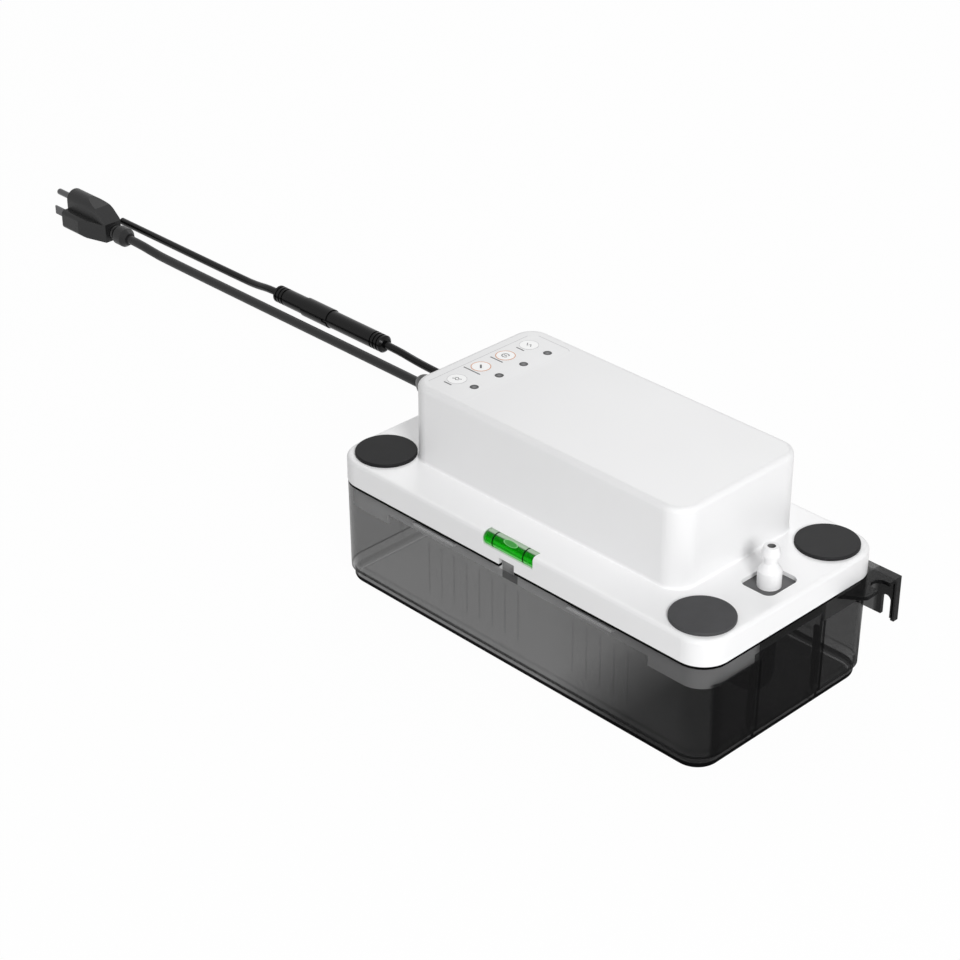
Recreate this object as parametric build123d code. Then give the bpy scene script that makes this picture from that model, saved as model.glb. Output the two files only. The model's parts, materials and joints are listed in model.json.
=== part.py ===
from build123d import *
import os
from math import cos, radians, sin, sqrt, tan

os.makedirs("parts", exist_ok=True)

# Condensate pump: a smoky reservoir under a white deck and motor housing.
# Millimetres. Origin: middle of the reservoir's flat bottom. +X runs along the length towards
# the discharge barb, +Z is up, and the two wall hangers are on the +Y side.

# ---------------------------------------------------------------- driving dimensions
DECK_LENGTH = 280.0
DECK_WIDTH = 143.7
DECK_CORNER_R = 17.0
DECK_DEPTH = 15.6
DECK_EDGE_R = 2.5
COVER_WALL = 2.4
RIM_Z = 66.4

HOUSING_LENGTH = 203.3
HOUSING_WIDTH = 98.5
HOUSING_HEIGHT = 49.0
HOUSING_X = -4.65
HOUSING_Y = 4.55
HOUSING_CORNER_R = 13.0
HOUSING_EDGE_R = 3.5
HOUSING_FOOT_R = 1.0

TANK_WALL = 2.4
TANK_FLOOR = 2.6
TANK_RIM_INSET = 0.3
TANK_DRAFT = 0.6
FOOT_HEIGHT = 8.0
FOOT_INSET = 2.0
FOOT_EDGE_R = 2.6
END_RIB_INSET = 45.35
END_RIB_SIZE = 1.6
END_RIB_TOP = 48.0
FLUTE_PITCH = 10.0
FLUTE_SIZE = 1.2
FLUTE_Z = (20.0, 52.0)
FLUTE_STARTS = (-66.5, 44.5)
FLUTE_COUNTS = (8, 5)

LIP_GAP = 0.3
LIP_WALL = 1.6
LIP_DEPTH = 9.6
CORNER_LIP_DEPTH = 15.6
CORNER_LIP_LENGTH = 41.0
CORNER_LIP_WIDTH = 43.35
SNAP_X = 59.3
SNAP_LENGTH = 33.0
SNAP_HEIGHT = 1.6
SNAP_DROP = 4.6
SNAP_REACH = 1.5
SNAP_GAP = 0.3
PRY_X = -1.5
PRY_WIDTH = 11.6
PRY_UP = 4.0
PRY_DOWN = 2.7

HANGER_REACH = 12.5
HANGER_STANDOFF = 2.65
HANGER_WALL = 2.2
HANGER_START = 16.0
HANGER_FRONT_INSET = 40.85
HANGER_NOSE_INSET = 27.35
HANGER_DROP = 27.8
HANGER_TOP_GAP = 0.4
HANGER_RETURN = 3.8
NOTCH_INSET = 12.85
NOTCH_R = 4.85
NOTCH_DEPTH = 7.7
WALL_SLOT_R = 2.95
WALL_SLOT_INSET = 7.1
WALL_SLOT_TOP = 14.3

INLET_END_INSET = 20.9
INLET_SIDE_INSET = 21.0
INLET_R = 15.9
PLUG_CLEARANCE = 0.1
PLUG_FLANGE_R = 17.9
PLUG_FLANGE_T = 1.9
PLUG_SKIRT_WALL = 2.4
PLUG_SKIRT_DEPTH = 5.0

OUTLET_INSET = 19.0
OUTLET_Y = 0.0
CUTOUT_LENGTH = 21.5
CUTOUT_WIDTH = 25.5
CUTOUT_R = 5.0

VIAL_LENGTH = 39.5
VIAL_X = -0.75
VIAL_R = 4.6
VIAL_CORE_R = 3.5
VIAL_DEPTH = 0.2
VIAL_SEAT_GAP = 0.05
VIAL_WINDOW = (-19.5, 18.2)
VIAL_WINDOW_BACK = 6.35
VIAL_WINDOW_DROP = 7.6
VIAL_RING_X = (-12.6, 10.4)
VIAL_RING_WIDTH = 0.9
BUBBLE_X = -0.6
BUBBLE_LENGTH = 8.4
BUBBLE_R = 2.2

OVERLAY_LENGTH = 31.0
OVERLAY_WIDTH = 86.0
OVERLAY_INSET = 23.8
OVERLAY_Y = 3.5
OVERLAY_R = 4.0
OVERLAY_T = 0.35
LED_OFFSET = 7.5
LED_Y = (-23.8, -4.2, 15.3, 34.7)
LENS_R = 2.55
LENS_FLANGE_R = 3.4
LENS_GAP = 0.05
LENS_DEPTH = 5.0
LED_R = 1.5
LED_HEIGHT = 5.4

CHASSIS_T = 3.0
CHASSIS_MARGIN = 3.5
TONGUE_WIDTH = 32.0
TONGUE_END = 13.0
TONGUE_R = 6.0

BOSS_R = 4.0
BOSS_INSET = 5.0
BOSS_HEIGHT = 18.0
SCREW_R = 1.5
SCREW_HEAD_R = 3.1
SCREW_HEAD_H = 2.0
SCREW_LENGTH = 12.0
SCREW_GAP = 0.05
SCREW_PASS_GAP = 0.2

BOARD_LENGTH = 59.0
BOARD_WIDTH = 84.0
BOARD_T = 1.6
BOARD_END_GAP = 2.9
BOARD_Y = 4.0
BOARD_DROP = 11.0
BOARD_HOLE_INSET = 5.0
BOARD_BOSS_R = 3.2
BOARD_SCREW_LENGTH = 8.0
RELAY_AT = (-16.0, -22.0)
RELAY_SIZE = (19.0, 15.5, 15.0)
TRANSFORMER_AT = (-12.0, 20.0)
TRANSFORMER_SIZE = (22.0, 24.0, 18.0)
COMPONENT_CHAMFER = 0.8
TERMINAL_POLES = 4
TERMINAL_PITCH = 7.6
TERMINAL_DEPTH = 10.0
TERMINAL_HEIGHT = 12.0
BUZZER_AT = (14.0, 22.0)
BUZZER_R = 6.0
BUZZER_HEIGHT = 8.0
BUZZER_HOLE_R = 1.2

MOTOR_X = 52.0
SHAFT_R = 2.5
BEARING_GAP = 0.05
BEARING_R = 5.0
BEARING_LENGTH = 5.0
STACK_T = 16.0
STACK_WIDTH = 48.0
STACK_FRONT = 22.0
STACK_BACK = 48.0
YOKE_T = 10.0
WINDOW_START = 19.0
WINDOW_WIDTH = 26.0
ROTOR_R = 11.0
ROTOR_GAP = 0.35
POLE_SLOT = 1.6
LAMINATION_GROOVES = 3
GROOVE = 0.5
COIL_BUILD = 7.0
BOBBIN_WALL = 1.0
BOBBIN_GAP = 0.1
MOTOR_BOLT_X = 14.5
MOTOR_BOLT_Y = 19.0
MOTOR_POST_H = 8.0
MOTOR_POST_R = 4.2
BRACKET_H = 6.0
BRACKET_T = 2.0
BRACKET_LENGTH = 37.0
BRACKET_FOOT = 7.0
BEARING_PROUD = 1.0
FAN_R = 27.0
FAN_H = 8.0
FAN_HUB_R = 6.0
FAN_GAP = 2.0
FAN_BLADES = 7

PUMP_FOOT_GAP = 0.3
STRAINER_H = 5.1
STRAINER_WALL = 1.8
STRAINER_SLOTS = 16
STRAINER_SLOT_W = 3.6
VOLUTE_R = 17.0
VOLUTE_WALL = 2.5
VOLUTE_PLATE_T = 2.0
CHAMBER_H = 8.8
CHANNEL_INSET = 0.6
EYE_R = 6.0
COLUMN_R = 9.0
COLUMN_WALL = 2.4
COLUMN_FLANGE_R = 17.0
COLUMN_FLANGE_T = 3.0
COLUMN_SCREW_R = 13.0
IMPELLER_R = 15.2
IMPELLER_GAP = 1.0
IMPELLER_DISC_T = 1.6
IMPELLER_BLADES = 6
IMPELLER_HUB_R = 4.6
IMPELLER_SWEEP = 6.0
IMPELLER_BLADE_T = 1.5
PIPE_R = 6.0
PIPE_BORE_R = 4.0
PIPE_BEND_R = 13.0
SPIGOT_R = 5.0
SPIGOT_GAP = 0.1
SPIGOT_LENGTH = 7.0
SOCKET_R = 7.4
CHANNEL_REACH = 30.0

VALVE_BODY_R = 6.6
VALVE_SKIRT_R = 9.2
VALVE_SKIRT_H = 14.0
VALVE_SEAL_T = 1.2
VALVE_HOLE_GAP = 0.1
PIPE_INSERT = 5.0
VALVE_SHOULDER_Z = 89.0
NECK_R = 3.7
NECK_Z = (93.6, 97.2)
BARB_R = 5.3
BARB_LAND = 1.4
BARB_TOP_Z = 103.6
BARB_TIP_R = 4.1
ORIFICE_R = 2.3
BALL_R = 4.6
BALL_GAP = 0.3
BALL_TRAVEL = 5.0
SEAT_GAP = 0.02

FLOAT_X = -38.0
FLOAT_Y = 4.5
FLOAT_R = 15.0
FLOAT_H = 26.0
FLOAT_REST_Z = 22.0
FLOAT_TRAVEL = 22.0
ALARM_X = -80.0
ALARM_Y = 4.5
ALARM_R = 11.0
ALARM_H = 18.0
ALARM_REST_Z = 42.0
ALARM_TRAVEL = 12.0
STEM_R = 4.0
STEM_BORE_R = 2.2
STEM_CAP = 3.0
STEM_GAP = 0.1
STEM_FLANGE_R = 9.0
STEM_FLANGE_T = 2.5
CLIP_T = 1.6
CLIP_R = 6.5
CLIP_GROOVE = 0.8
MAGNET_R = 8.0
MAGNET_H = 6.0
REED_R = 1.4
REED_LENGTH = 14.0

RELIEF_Z = 94.0
RELIEF_FLANGE_T = 2.0
RELIEF_GAP = 0.05
RELIEF_NECK = 1.0
RELIEF_SKIN = 0.4
RELIEF_RIBS = 5
POWER_Y = 12.0
POWER_CORD_R = 3.3
POWER_RELIEF_R = 5.6
POWER_RELIEF_LENGTH = 24.0
SIGNAL_Y = 34.0
SIGNAL_CORD_R = 2.7
SIGNAL_RELIEF_R = 4.8
SIGNAL_RELIEF_LENGTH = 20.0

CONNECTOR_R = 6.2
CONNECTOR_X = (-326.5, -440.0)
CONNECTOR_Y = 138.0
COLLAR_X = (-382.0, -408.5)
COLLAR_R = 6.9
COLLAR_NOTCH = (4.0, 2.4)
CONNECTOR_GROOVE = 0.6
CONNECTOR_GROOVES = 3
CONNECTOR_PITCH = 3.2

PLUG_X = -598.0
PLUG_Y = 117.0
PLUG_AXIS_Z = 8.0
PLUG_WIDTH = 27.0
PLUG_LOW_H = 14.5
PLUG_STRAIGHT = 20.0
PLUG_TAPER = 26.0
PLUG_LOBE_R = 7.5
PLUG_TOP_Z = 28.5
PLUG_NECK_R = 5.6
PLUG_BULB_R = 7.2
PLUG_BULB_LENGTH = 13.0
PLUG_RIB_LENGTH = 7.0
PLUG_RIB_DEPTH = 1.2
PLUG_CORNER_R = 3.0
PLUG_FACE_MARGIN = 1.5
PLUG_TOP_FALL = 4.0
BLADE_SPACING = 12.7
BLADE_SIZE = (17.5, 1.5, 6.3)
BLADE_Z = 8.0
GROUND_PIN_R = 2.4
GROUND_PIN_LENGTH = 21.0
GROUND_PIN_RISE = 12.0

# ---------------------------------------------------------------- derived places
END_RIB_Y = DECK_WIDTH / 2 - END_RIB_INSET
CORNER_LIP_X = DECK_LENGTH / 2 - CORNER_LIP_LENGTH
CORNER_LIP_Y = DECK_WIDTH / 2 - CORNER_LIP_WIDTH
HANGER_FRONT_Y = DECK_WIDTH / 2 - HANGER_FRONT_INSET
HANGER_NOSE_Y = DECK_WIDTH / 2 - HANGER_NOSE_INSET
NOTCH_Y = DECK_WIDTH / 2 - NOTCH_INSET
WALL_SLOT_X = DECK_LENGTH / 2 + HANGER_REACH - WALL_SLOT_INSET
INLET_X = DECK_LENGTH / 2 - INLET_END_INSET
INLET_Y = DECK_WIDTH / 2 - INLET_SIDE_INSET
OUTLET_X = DECK_LENGTH / 2 - OUTLET_INSET
OVERLAY_X = HOUSING_X - HOUSING_LENGTH / 2 + OVERLAY_INSET
LED_X = OVERLAY_X + LED_OFFSET
BOARD_X = HOUSING_X - HOUSING_LENGTH / 2 + COVER_WALL + BOARD_END_GAP + BOARD_LENGTH / 2
RELIEF_X0 = HOUSING_X - HOUSING_LENGTH / 2

# ---------------------------------------------------------------- derived levels
DECK_TOP = RIM_Z + DECK_DEPTH
DECK_UNDER = DECK_TOP - COVER_WALL
HOUSING_TOP = DECK_TOP + HOUSING_HEIGHT
HOUSING_UNDER = HOUSING_TOP - COVER_WALL
HOUSING_IN_LENGTH = HOUSING_LENGTH - 2 * COVER_WALL
HOUSING_IN_WIDTH = HOUSING_WIDTH - 2 * COVER_WALL
LIP_INSET = TANK_RIM_INSET + TANK_WALL + LIP_GAP
CHASSIS_Z = DECK_UNDER - CHASSIS_T
MOTOR_Y = OUTLET_Y + VOLUTE_R - PIPE_BORE_R - CHANNEL_INSET
STRAINER_Z = TANK_FLOOR + PUMP_FOOT_GAP
PLATE_Z = STRAINER_Z + STRAINER_H
CHAMBER_Z = PLATE_Z + VOLUTE_PLATE_T
VOLUTE_TOP = CHAMBER_Z + CHAMBER_H + VOLUTE_WALL
PIPE_Z = CHAMBER_Z + CHAMBER_H / 2
STACK_Z = DECK_UNDER + MOTOR_POST_H + BRACKET_H
STACK_TOP = STACK_Z + STACK_T
FAN_Z = STACK_TOP + BRACKET_H + FAN_GAP
BOARD_TOP = HOUSING_UNDER - BOARD_DROP
VALVE_BOTTOM = CHASSIS_Z - VALVE_SEAL_T - VALVE_SKIRT_H
PIPE_TOP = VALVE_BOTTOM + PIPE_INSERT


INLETS = {"front_left": (-INLET_X, -INLET_Y), "front_right": (INLET_X, -INLET_Y),
          "rear_right": (INLET_X, INLET_Y)}


# ---------------------------------------------------------------- small helpers
def post(x, y, z0, z1, radius):
    """Upright cylinder between two levels."""
    return Pos(x, y, z0) * extrude(Circle(radius), z1 - z0)


def ring(x, y, z0, z1, radius, bore):
    """Upright tube between two levels."""
    return post(x, y, z0, z1, radius) - post(x, y, z0, z1, bore)


def block(x0, x1, y0, y1, z0, z1):
    """Square-edged block between two corners."""
    middle = Pos((x0 + x1) / 2, (y0 + y1) / 2, (z0 + z1) / 2)
    return middle * Box(abs(x1 - x0), abs(y1 - y0), abs(z1 - z0))


def slab(length, width, radius, z0, z1, x=0.0, y=0.0):
    """Block with rounded upright corners."""
    return Pos(x, y, z0) * extrude(RectangleRounded(length, width, radius), z1 - z0)


def lying(x0, x1, y, z, radius):
    """Cylinder lying along X."""
    start = Plane(origin=(min(x0, x1), y, z), z_dir=(1, 0, 0))
    return extrude(start * Circle(radius), abs(x1 - x0))


def turned(points, x=0.0, y=0.0):
    """Solid of revolution about an upright axis, from (radius, height) points."""
    outline = make_face(Polyline(*[(r, 0, z) for r, z in points], close=True))
    return Pos(x, y, 0) * revolve(outline, Axis.Z)


def turned_lying(points, x, y, z):
    """Solid of revolution about an axis along X, from (offset, radius) points."""
    outline = make_face(Polyline(*[(a, 0, r) for a, r in points], close=True))
    return Pos(x, y, z) * revolve(outline, Axis.X)


def mirrored(shape):
    """Copy on the other side of the YZ plane."""
    return mirror(shape, Plane.YZ)


def deck_slab(inset, z0, z1):
    """Slab that follows the deck's outline, moved in by an inset."""
    return slab(DECK_LENGTH - 2 * inset, DECK_WIDTH - 2 * inset, DECK_CORNER_R - inset, z0, z1)


def housing_slab(inset, z0, z1):
    """Slab that follows the housing's outline, moved in by an inset."""
    return slab(HOUSING_LENGTH - 2 * inset, HOUSING_WIDTH - 2 * inset, HOUSING_CORNER_R - inset,
                z0, z1, HOUSING_X, HOUSING_Y)


def edges_at(shape, z):
    """Edges that lie flat at one level."""
    return [e for e in shape.edges() if abs(e.bounding_box().min.Z - z) < 1e-4
            and abs(e.bounding_box().max.Z - z) < 1e-4]


def screw(x, y, z, length, up=1):
    """Pan-head screw whose head seats at z; up = 1 drives it upwards."""
    shank = post(x, y, *sorted((z, z + up * length)), SCREW_R)
    head = post(x, y, *sorted((z, z - up * SCREW_HEAD_H)), SCREW_HEAD_R)
    far = z - up * SCREW_HEAD_H
    return fillet(edges_at(shank + head, far), SCREW_HEAD_H * 0.45)


# ---------------------------------------------------------------- reservoir
def tank_slab(inset):
    """Upper part of the reservoir with its draft, from the foot to the rim."""
    low = TANK_RIM_INSET + TANK_DRAFT + inset
    high = TANK_RIM_INSET + inset
    outlines = [Pos(0, 0, z) * RectangleRounded(DECK_LENGTH - 2 * i, DECK_WIDTH - 2 * i, DECK_CORNER_R - i)
                for i, z in ((low, FOOT_HEIGHT), (high, RIM_Z))]
    return loft(outlines, ruled=True)


def tank_cavity():
    """Space inside the reservoir, stepped in at the foot."""
    step_z = FOOT_HEIGHT + TANK_WALL
    foot_in = TANK_RIM_INSET + TANK_DRAFT + FOOT_INSET + TANK_WALL
    upper = tank_slab(TANK_WALL) - deck_slab(0, 0, step_z)
    return upper + deck_slab(foot_in, TANK_FLOOR, step_z)


def hanger():
    """Wall hanger at the +X back corner: shelf, upright flange, slot and end return."""
    top = RIM_Z - HANGER_TOP_GAP
    end = DECK_LENGTH / 2 + HANGER_REACH
    back = DECK_WIDTH / 2 + HANGER_STANDOFF
    start = DECK_LENGTH / 2 - HANGER_START
    root = DECK_LENGTH / 2 - 2 * TANK_WALL
    root_y = DECK_WIDTH / 2 - 2 * TANK_WALL
    shelf = make_face(Polyline((root, HANGER_FRONT_Y), (end, HANGER_NOSE_Y), (end, back),
                               (start, back), (start, root_y), (root, root_y), close=True))
    shelf = extrude(Pos(0, 0, top - HANGER_WALL) * shelf, HANGER_WALL)
    nose = shelf.edges().filter_by(Axis.Z).sort_by_distance((end, HANGER_NOSE_Y, top))[0]
    shelf = fillet(nose, HANGER_WALL)
    notch_x = end - NOTCH_DEPTH + NOTCH_R
    notch = post(notch_x, NOTCH_Y, top - 2 * HANGER_WALL, top + HANGER_WALL, NOTCH_R)
    notch += block(notch_x, end + HANGER_WALL, NOTCH_Y - NOTCH_R, NOTCH_Y + NOTCH_R,
                   top - 2 * HANGER_WALL, top + HANGER_WALL)
    low = top - HANGER_DROP
    flange = block(start, end, back - HANGER_WALL, back, low, top)
    web = block(start, start + HANGER_WALL, root_y, back, low, top)
    side = block(end - HANGER_WALL, end, back - HANGER_RETURN, back, low, top)
    slot_z = top - WALL_SLOT_TOP - WALL_SLOT_R
    across = Plane(origin=(WALL_SLOT_X, back - 2 * HANGER_WALL, slot_z), z_dir=(0, 1, 0))
    slot = extrude(across * Circle(WALL_SLOT_R), 3 * HANGER_WALL)
    slot += block(WALL_SLOT_X - WALL_SLOT_R, WALL_SLOT_X + WALL_SLOT_R,
                  back - 2 * HANGER_WALL, back + HANGER_WALL, low - HANGER_WALL, slot_z)
    return (shelf - notch) + flange + web + side - slot


def tank():
    """Reservoir with two wall hangers, snap grooves, end ribs and inner flutes."""
    foot_inset = TANK_RIM_INSET + TANK_DRAFT + FOOT_INSET
    foot = deck_slab(foot_inset, 0, FOOT_HEIGHT)
    foot = fillet(edges_at(foot, 0), FOOT_EDGE_R)
    body = tank_slab(0) + foot
    ear = hanger()
    body = body + ear + mirrored(ear)
    body -= tank_cavity()
    inner_x = DECK_LENGTH / 2 - TANK_RIM_INSET - TANK_DRAFT - TANK_WALL
    inner_y = DECK_WIDTH / 2 - TANK_RIM_INSET - TANK_DRAFT - TANK_WALL
    for side in (-1, 1):
        for y in (-END_RIB_Y, END_RIB_Y):
            body += block(side * (inner_x - FOOT_INSET - END_RIB_SIZE), side * (inner_x + TANK_WALL / 2),
                          y - END_RIB_SIZE / 2, y + END_RIB_SIZE / 2, FOOT_HEIGHT, END_RIB_TOP)
    for first, count in zip(FLUTE_STARTS, FLUTE_COUNTS):
        for i in range(count):
            x = first + i * FLUTE_PITCH
            body += block(x - FLUTE_SIZE / 2, x + FLUTE_SIZE / 2, -inner_y - TANK_WALL / 2,
                          -inner_y + FLUTE_SIZE, *FLUTE_Z)
    snap_z = RIM_Z - SNAP_DROP
    groove_y = DECK_WIDTH / 2 - LIP_INSET + SNAP_REACH + SNAP_GAP
    for x in (-SNAP_X, SNAP_X):
        half = SNAP_LENGTH / 2 + SNAP_GAP
        tall = SNAP_HEIGHT / 2 + SNAP_GAP
        for side in (-1, 1):
            body -= block(x - half, x + half, side * (inner_y - TANK_WALL), side * groove_y,
                          snap_z - tall, snap_z + tall)
    body -= block(PRY_X - PRY_WIDTH / 2, PRY_X + PRY_WIDTH / 2, -inner_y + TANK_WALL, -DECK_WIDTH,
                  RIM_Z - PRY_DOWN, RIM_Z + PRY_DOWN)
    return body


# ---------------------------------------------------------------- cover
def corner_lips(z0, z1):
    """Four L-shaped zones where the locating lip is deeper."""
    zones = Part()
    for sx in (-1, 1):
        for sy in (-1, 1):
            zones += block(sx * CORNER_LIP_X, sx * DECK_LENGTH, sy * CORNER_LIP_Y, sy * DECK_WIDTH, z0, z1)
    return zones


def locating_lip():
    """Lip that drops inside the reservoir's rim, deeper round the corners, with its snap beads."""
    inner = LIP_INSET + LIP_WALL
    low = RIM_Z - LIP_DEPTH
    deep = RIM_Z - CORNER_LIP_DEPTH
    lip = deck_slab(LIP_INSET, low, DECK_UNDER) - deck_slab(inner, low, DECK_UNDER)
    corners = deck_slab(LIP_INSET, deep, low) - deck_slab(inner, deep, low)
    lip += corners & corner_lips(deep, low)
    snap_z = RIM_Z - SNAP_DROP
    face = DECK_WIDTH / 2 - LIP_INSET
    for x in (-SNAP_X, SNAP_X):
        for side in (-1, 1):
            lip += block(x - SNAP_LENGTH / 2, x + SNAP_LENGTH / 2, side * (face - LIP_WALL / 2),
                         side * (face + SNAP_REACH), snap_z - SNAP_HEIGHT / 2, snap_z + SNAP_HEIGHT / 2)
    return lip


def vial_axis():
    """Height and depth of the level vial's axis, tucked just inside the deck's front top edge."""
    return -DECK_WIDTH / 2 + VIAL_R + VIAL_DEPTH, DECK_TOP - VIAL_R - VIAL_DEPTH


def boss_centres():
    """Screw bosses in the housing's four inner corners."""
    dx = HOUSING_IN_LENGTH / 2 - BOSS_INSET
    dy = HOUSING_IN_WIDTH / 2 - BOSS_INSET
    return [(HOUSING_X + sx * dx, HOUSING_Y + sy * dy) for sx in (-1, 1) for sy in (-1, 1)]


def board_holes():
    """Fixing holes in the control board's corners."""
    dx = BOARD_LENGTH / 2 - BOARD_HOLE_INSET
    dy = BOARD_WIDTH / 2 - BOARD_HOLE_INSET
    return [(BOARD_X + sx * dx, BOARD_Y + sy * dy) for sx in (-1, 1) for sy in (-1, 1)]


def at_housing_foot(edge):
    """Whether an edge of the deck's top lies on the housing's outline."""
    middle = edge.center()
    across = max(abs(middle.X - HOUSING_X) - HOUSING_LENGTH / 2, abs(middle.Y - HOUSING_Y) - HOUSING_WIDTH / 2)
    return across < 1e-4


def top_cover():
    """Deck and motor housing in one moulding, hollow from below."""
    deck = deck_slab(0, RIM_Z, DECK_TOP)
    housing = housing_slab(0, DECK_TOP - COVER_WALL, HOUSING_TOP)
    shell = fillet(edges_at(deck, DECK_TOP), DECK_EDGE_R) + fillet(edges_at(housing, HOUSING_TOP), HOUSING_EDGE_R)
    shell = fillet([e for e in edges_at(shell, DECK_TOP) if at_housing_foot(e)], HOUSING_FOOT_R)
    shell -= deck_slab(LIP_INSET + LIP_WALL, RIM_Z, DECK_UNDER)
    shell -= housing_slab(COVER_WALL, DECK_UNDER, HOUSING_UNDER)
    shell += locating_lip()
    for x, y in boss_centres():
        shell += post(x, y, DECK_UNDER, DECK_UNDER + BOSS_HEIGHT, BOSS_R) & housing_slab(
            COVER_WALL / 2, DECK_UNDER, HOUSING_UNDER)
        shell -= post(x, y, DECK_UNDER, DECK_UNDER + SCREW_LENGTH, SCREW_R + SCREW_GAP)
    for x, y in board_holes():
        shell += ring(x, y, BOARD_TOP, HOUSING_UNDER, BOARD_BOSS_R, SCREW_R + SCREW_GAP)
    for x, y in INLETS.values():
        shell -= post(x, y, DECK_UNDER - COVER_WALL, DECK_TOP + 1, INLET_R)
    shell -= slab(CUTOUT_LENGTH, CUTOUT_WIDTH, CUTOUT_R, DECK_UNDER - COVER_WALL, DECK_TOP + 1,
                  OUTLET_X, OUTLET_Y)
    shell = cut_vial_pocket(shell)
    shell -= slab(OVERLAY_LENGTH, OVERLAY_WIDTH, OVERLAY_R, HOUSING_TOP - OVERLAY_T, HOUSING_TOP + 1,
                  OVERLAY_X, OVERLAY_Y)
    for y in LED_Y:
        shell -= post(LED_X, y, HOUSING_UNDER - 1, HOUSING_TOP, LENS_R + LENS_GAP)
    for y, radius in ((POWER_Y, POWER_CORD_R), (SIGNAL_Y, SIGNAL_CORD_R)):
        shell -= lying(RELIEF_X0 - 1, RELIEF_X0 + COVER_WALL + 1, y, RELIEF_Z,
                       radius + RELIEF_NECK + RELIEF_GAP)
    shell -= block(PRY_X - PRY_WIDTH / 2, PRY_X + PRY_WIDTH / 2, -DECK_WIDTH, -DECK_WIDTH / 2 + COVER_WALL,
                   RIM_Z, RIM_Z + PRY_UP)
    return shell


def cut_vial_pocket(shell):
    """Adds the level vial's cradle behind the front edge and opens its window."""
    y, z = vial_axis()
    x0, x1 = VIAL_X - VIAL_LENGTH / 2, VIAL_X + VIAL_LENGTH / 2
    around = VIAL_R + COVER_WALL / 2
    cradle = block(x0 - COVER_WALL, x1 + COVER_WALL, -DECK_WIDTH / 2 + COVER_WALL, y + around,
                   z - around, DECK_UNDER)
    shell += cradle
    shell -= lying(x0 - VIAL_SEAT_GAP, x1 + VIAL_SEAT_GAP, y, z, VIAL_R + VIAL_SEAT_GAP)
    shell -= block(VIAL_WINDOW[0], VIAL_WINDOW[1], -DECK_WIDTH, -DECK_WIDTH / 2 + VIAL_WINDOW_BACK,
                   DECK_TOP - VIAL_WINDOW_DROP, DECK_TOP + 1)
    return shell


def inlet_plug(x, y):
    """Rubber plug for one inlet: flat flange over the deck and a hollow skirt in the hole."""
    skirt_r = INLET_R - PLUG_CLEARANCE
    flange = fillet(edges_at(post(x, y, DECK_TOP, DECK_TOP + PLUG_FLANGE_T, PLUG_FLANGE_R),
                             DECK_TOP + PLUG_FLANGE_T), PLUG_FLANGE_T * 0.35)
    return flange + ring(x, y, DECK_TOP - PLUG_SKIRT_DEPTH, DECK_TOP, skirt_r, skirt_r - PLUG_SKIRT_WALL)


# ---------------------------------------------------------------- level vial
def vial_parts():
    """Level vial: clear tube, filling with its bubble, and two marking rings."""
    y, z = vial_axis()
    x0, x1 = VIAL_X - VIAL_LENGTH / 2, VIAL_X + VIAL_LENGTH / 2
    wall = VIAL_R - VIAL_CORE_R
    body = lying(x0, x1, y, z, VIAL_R)
    body = fillet(body.edges().sort_by(Axis.X)[0], VIAL_R * 0.6)
    core = lying(x0 + 2 * wall, x1 - 2 * wall, y, z, VIAL_CORE_R)
    half = BUBBLE_LENGTH / 2 - BUBBLE_R
    lift = VIAL_CORE_R - BUBBLE_R - SEAT_GAP
    bubble = lying(BUBBLE_X - half, BUBBLE_X + half, y, z + lift, BUBBLE_R)
    for end in (-half, half):
        bubble += Pos(BUBBLE_X + end, y, z + lift) * Sphere(BUBBLE_R)
    rings = Part()
    for x in VIAL_RING_X:
        groove = lying(x - VIAL_RING_WIDTH / 2, x + VIAL_RING_WIDTH / 2, y, z, VIAL_R)
        rings += groove - lying(x - VIAL_RING_WIDTH, x + VIAL_RING_WIDTH, y, z, VIAL_R - VIAL_SEAT_GAP * 4)
    return body - core - rings, core - bubble, rings


# ---------------------------------------------------------------- control panel and board
def panel_overlay():
    """Thin film on the housing's top, with holes for the status lights."""
    film = slab(OVERLAY_LENGTH, OVERLAY_WIDTH, OVERLAY_R, HOUSING_TOP - OVERLAY_T, HOUSING_TOP,
                OVERLAY_X, OVERLAY_Y)
    for y in LED_Y:
        film -= post(LED_X, y, HOUSING_UNDER, HOUSING_TOP + 1, LENS_R + LENS_GAP)
    return film


def status_lens(y):
    """Light pipe of one status light, flanged under the housing's top."""
    flange_t = COVER_WALL / 2
    return (post(LED_X, y, HOUSING_UNDER - LENS_DEPTH, HOUSING_TOP, LENS_R)
            + post(LED_X, y, HOUSING_UNDER - flange_t, HOUSING_UNDER, LENS_FLANGE_R))


def status_leds():
    """Row of light-emitting diodes standing on the control board."""
    leds = Part()
    for y in LED_Y:
        leds += fillet(edges_at(post(LED_X, y, BOARD_TOP, BOARD_TOP + LED_HEIGHT, LED_R),
                                BOARD_TOP + LED_HEIGHT), LED_R * 0.8)
    return leds


def control_board():
    """Circuit board screwed up under the housing's top."""
    board = block(BOARD_X - BOARD_LENGTH / 2, BOARD_X + BOARD_LENGTH / 2, BOARD_Y - BOARD_WIDTH / 2,
                  BOARD_Y + BOARD_WIDTH / 2, BOARD_TOP - BOARD_T, BOARD_TOP)
    for x, y in board_holes():
        board -= post(x, y, BOARD_TOP - 2 * BOARD_T, BOARD_TOP + BOARD_T, SCREW_R + SCREW_PASS_GAP)
    return board


def board_component(place, size):
    """Square component soldered under the board, at a place counted from the board's middle."""
    length, width, height = size
    x, y = BOARD_X + place[0], BOARD_Y + place[1]
    under = BOARD_TOP - BOARD_T
    body = block(x - length / 2, x + length / 2, y - width / 2, y + width / 2, under - height, under)
    return chamfer(body.edges().filter_by(Axis.Z), COMPONENT_CHAMFER)


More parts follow.
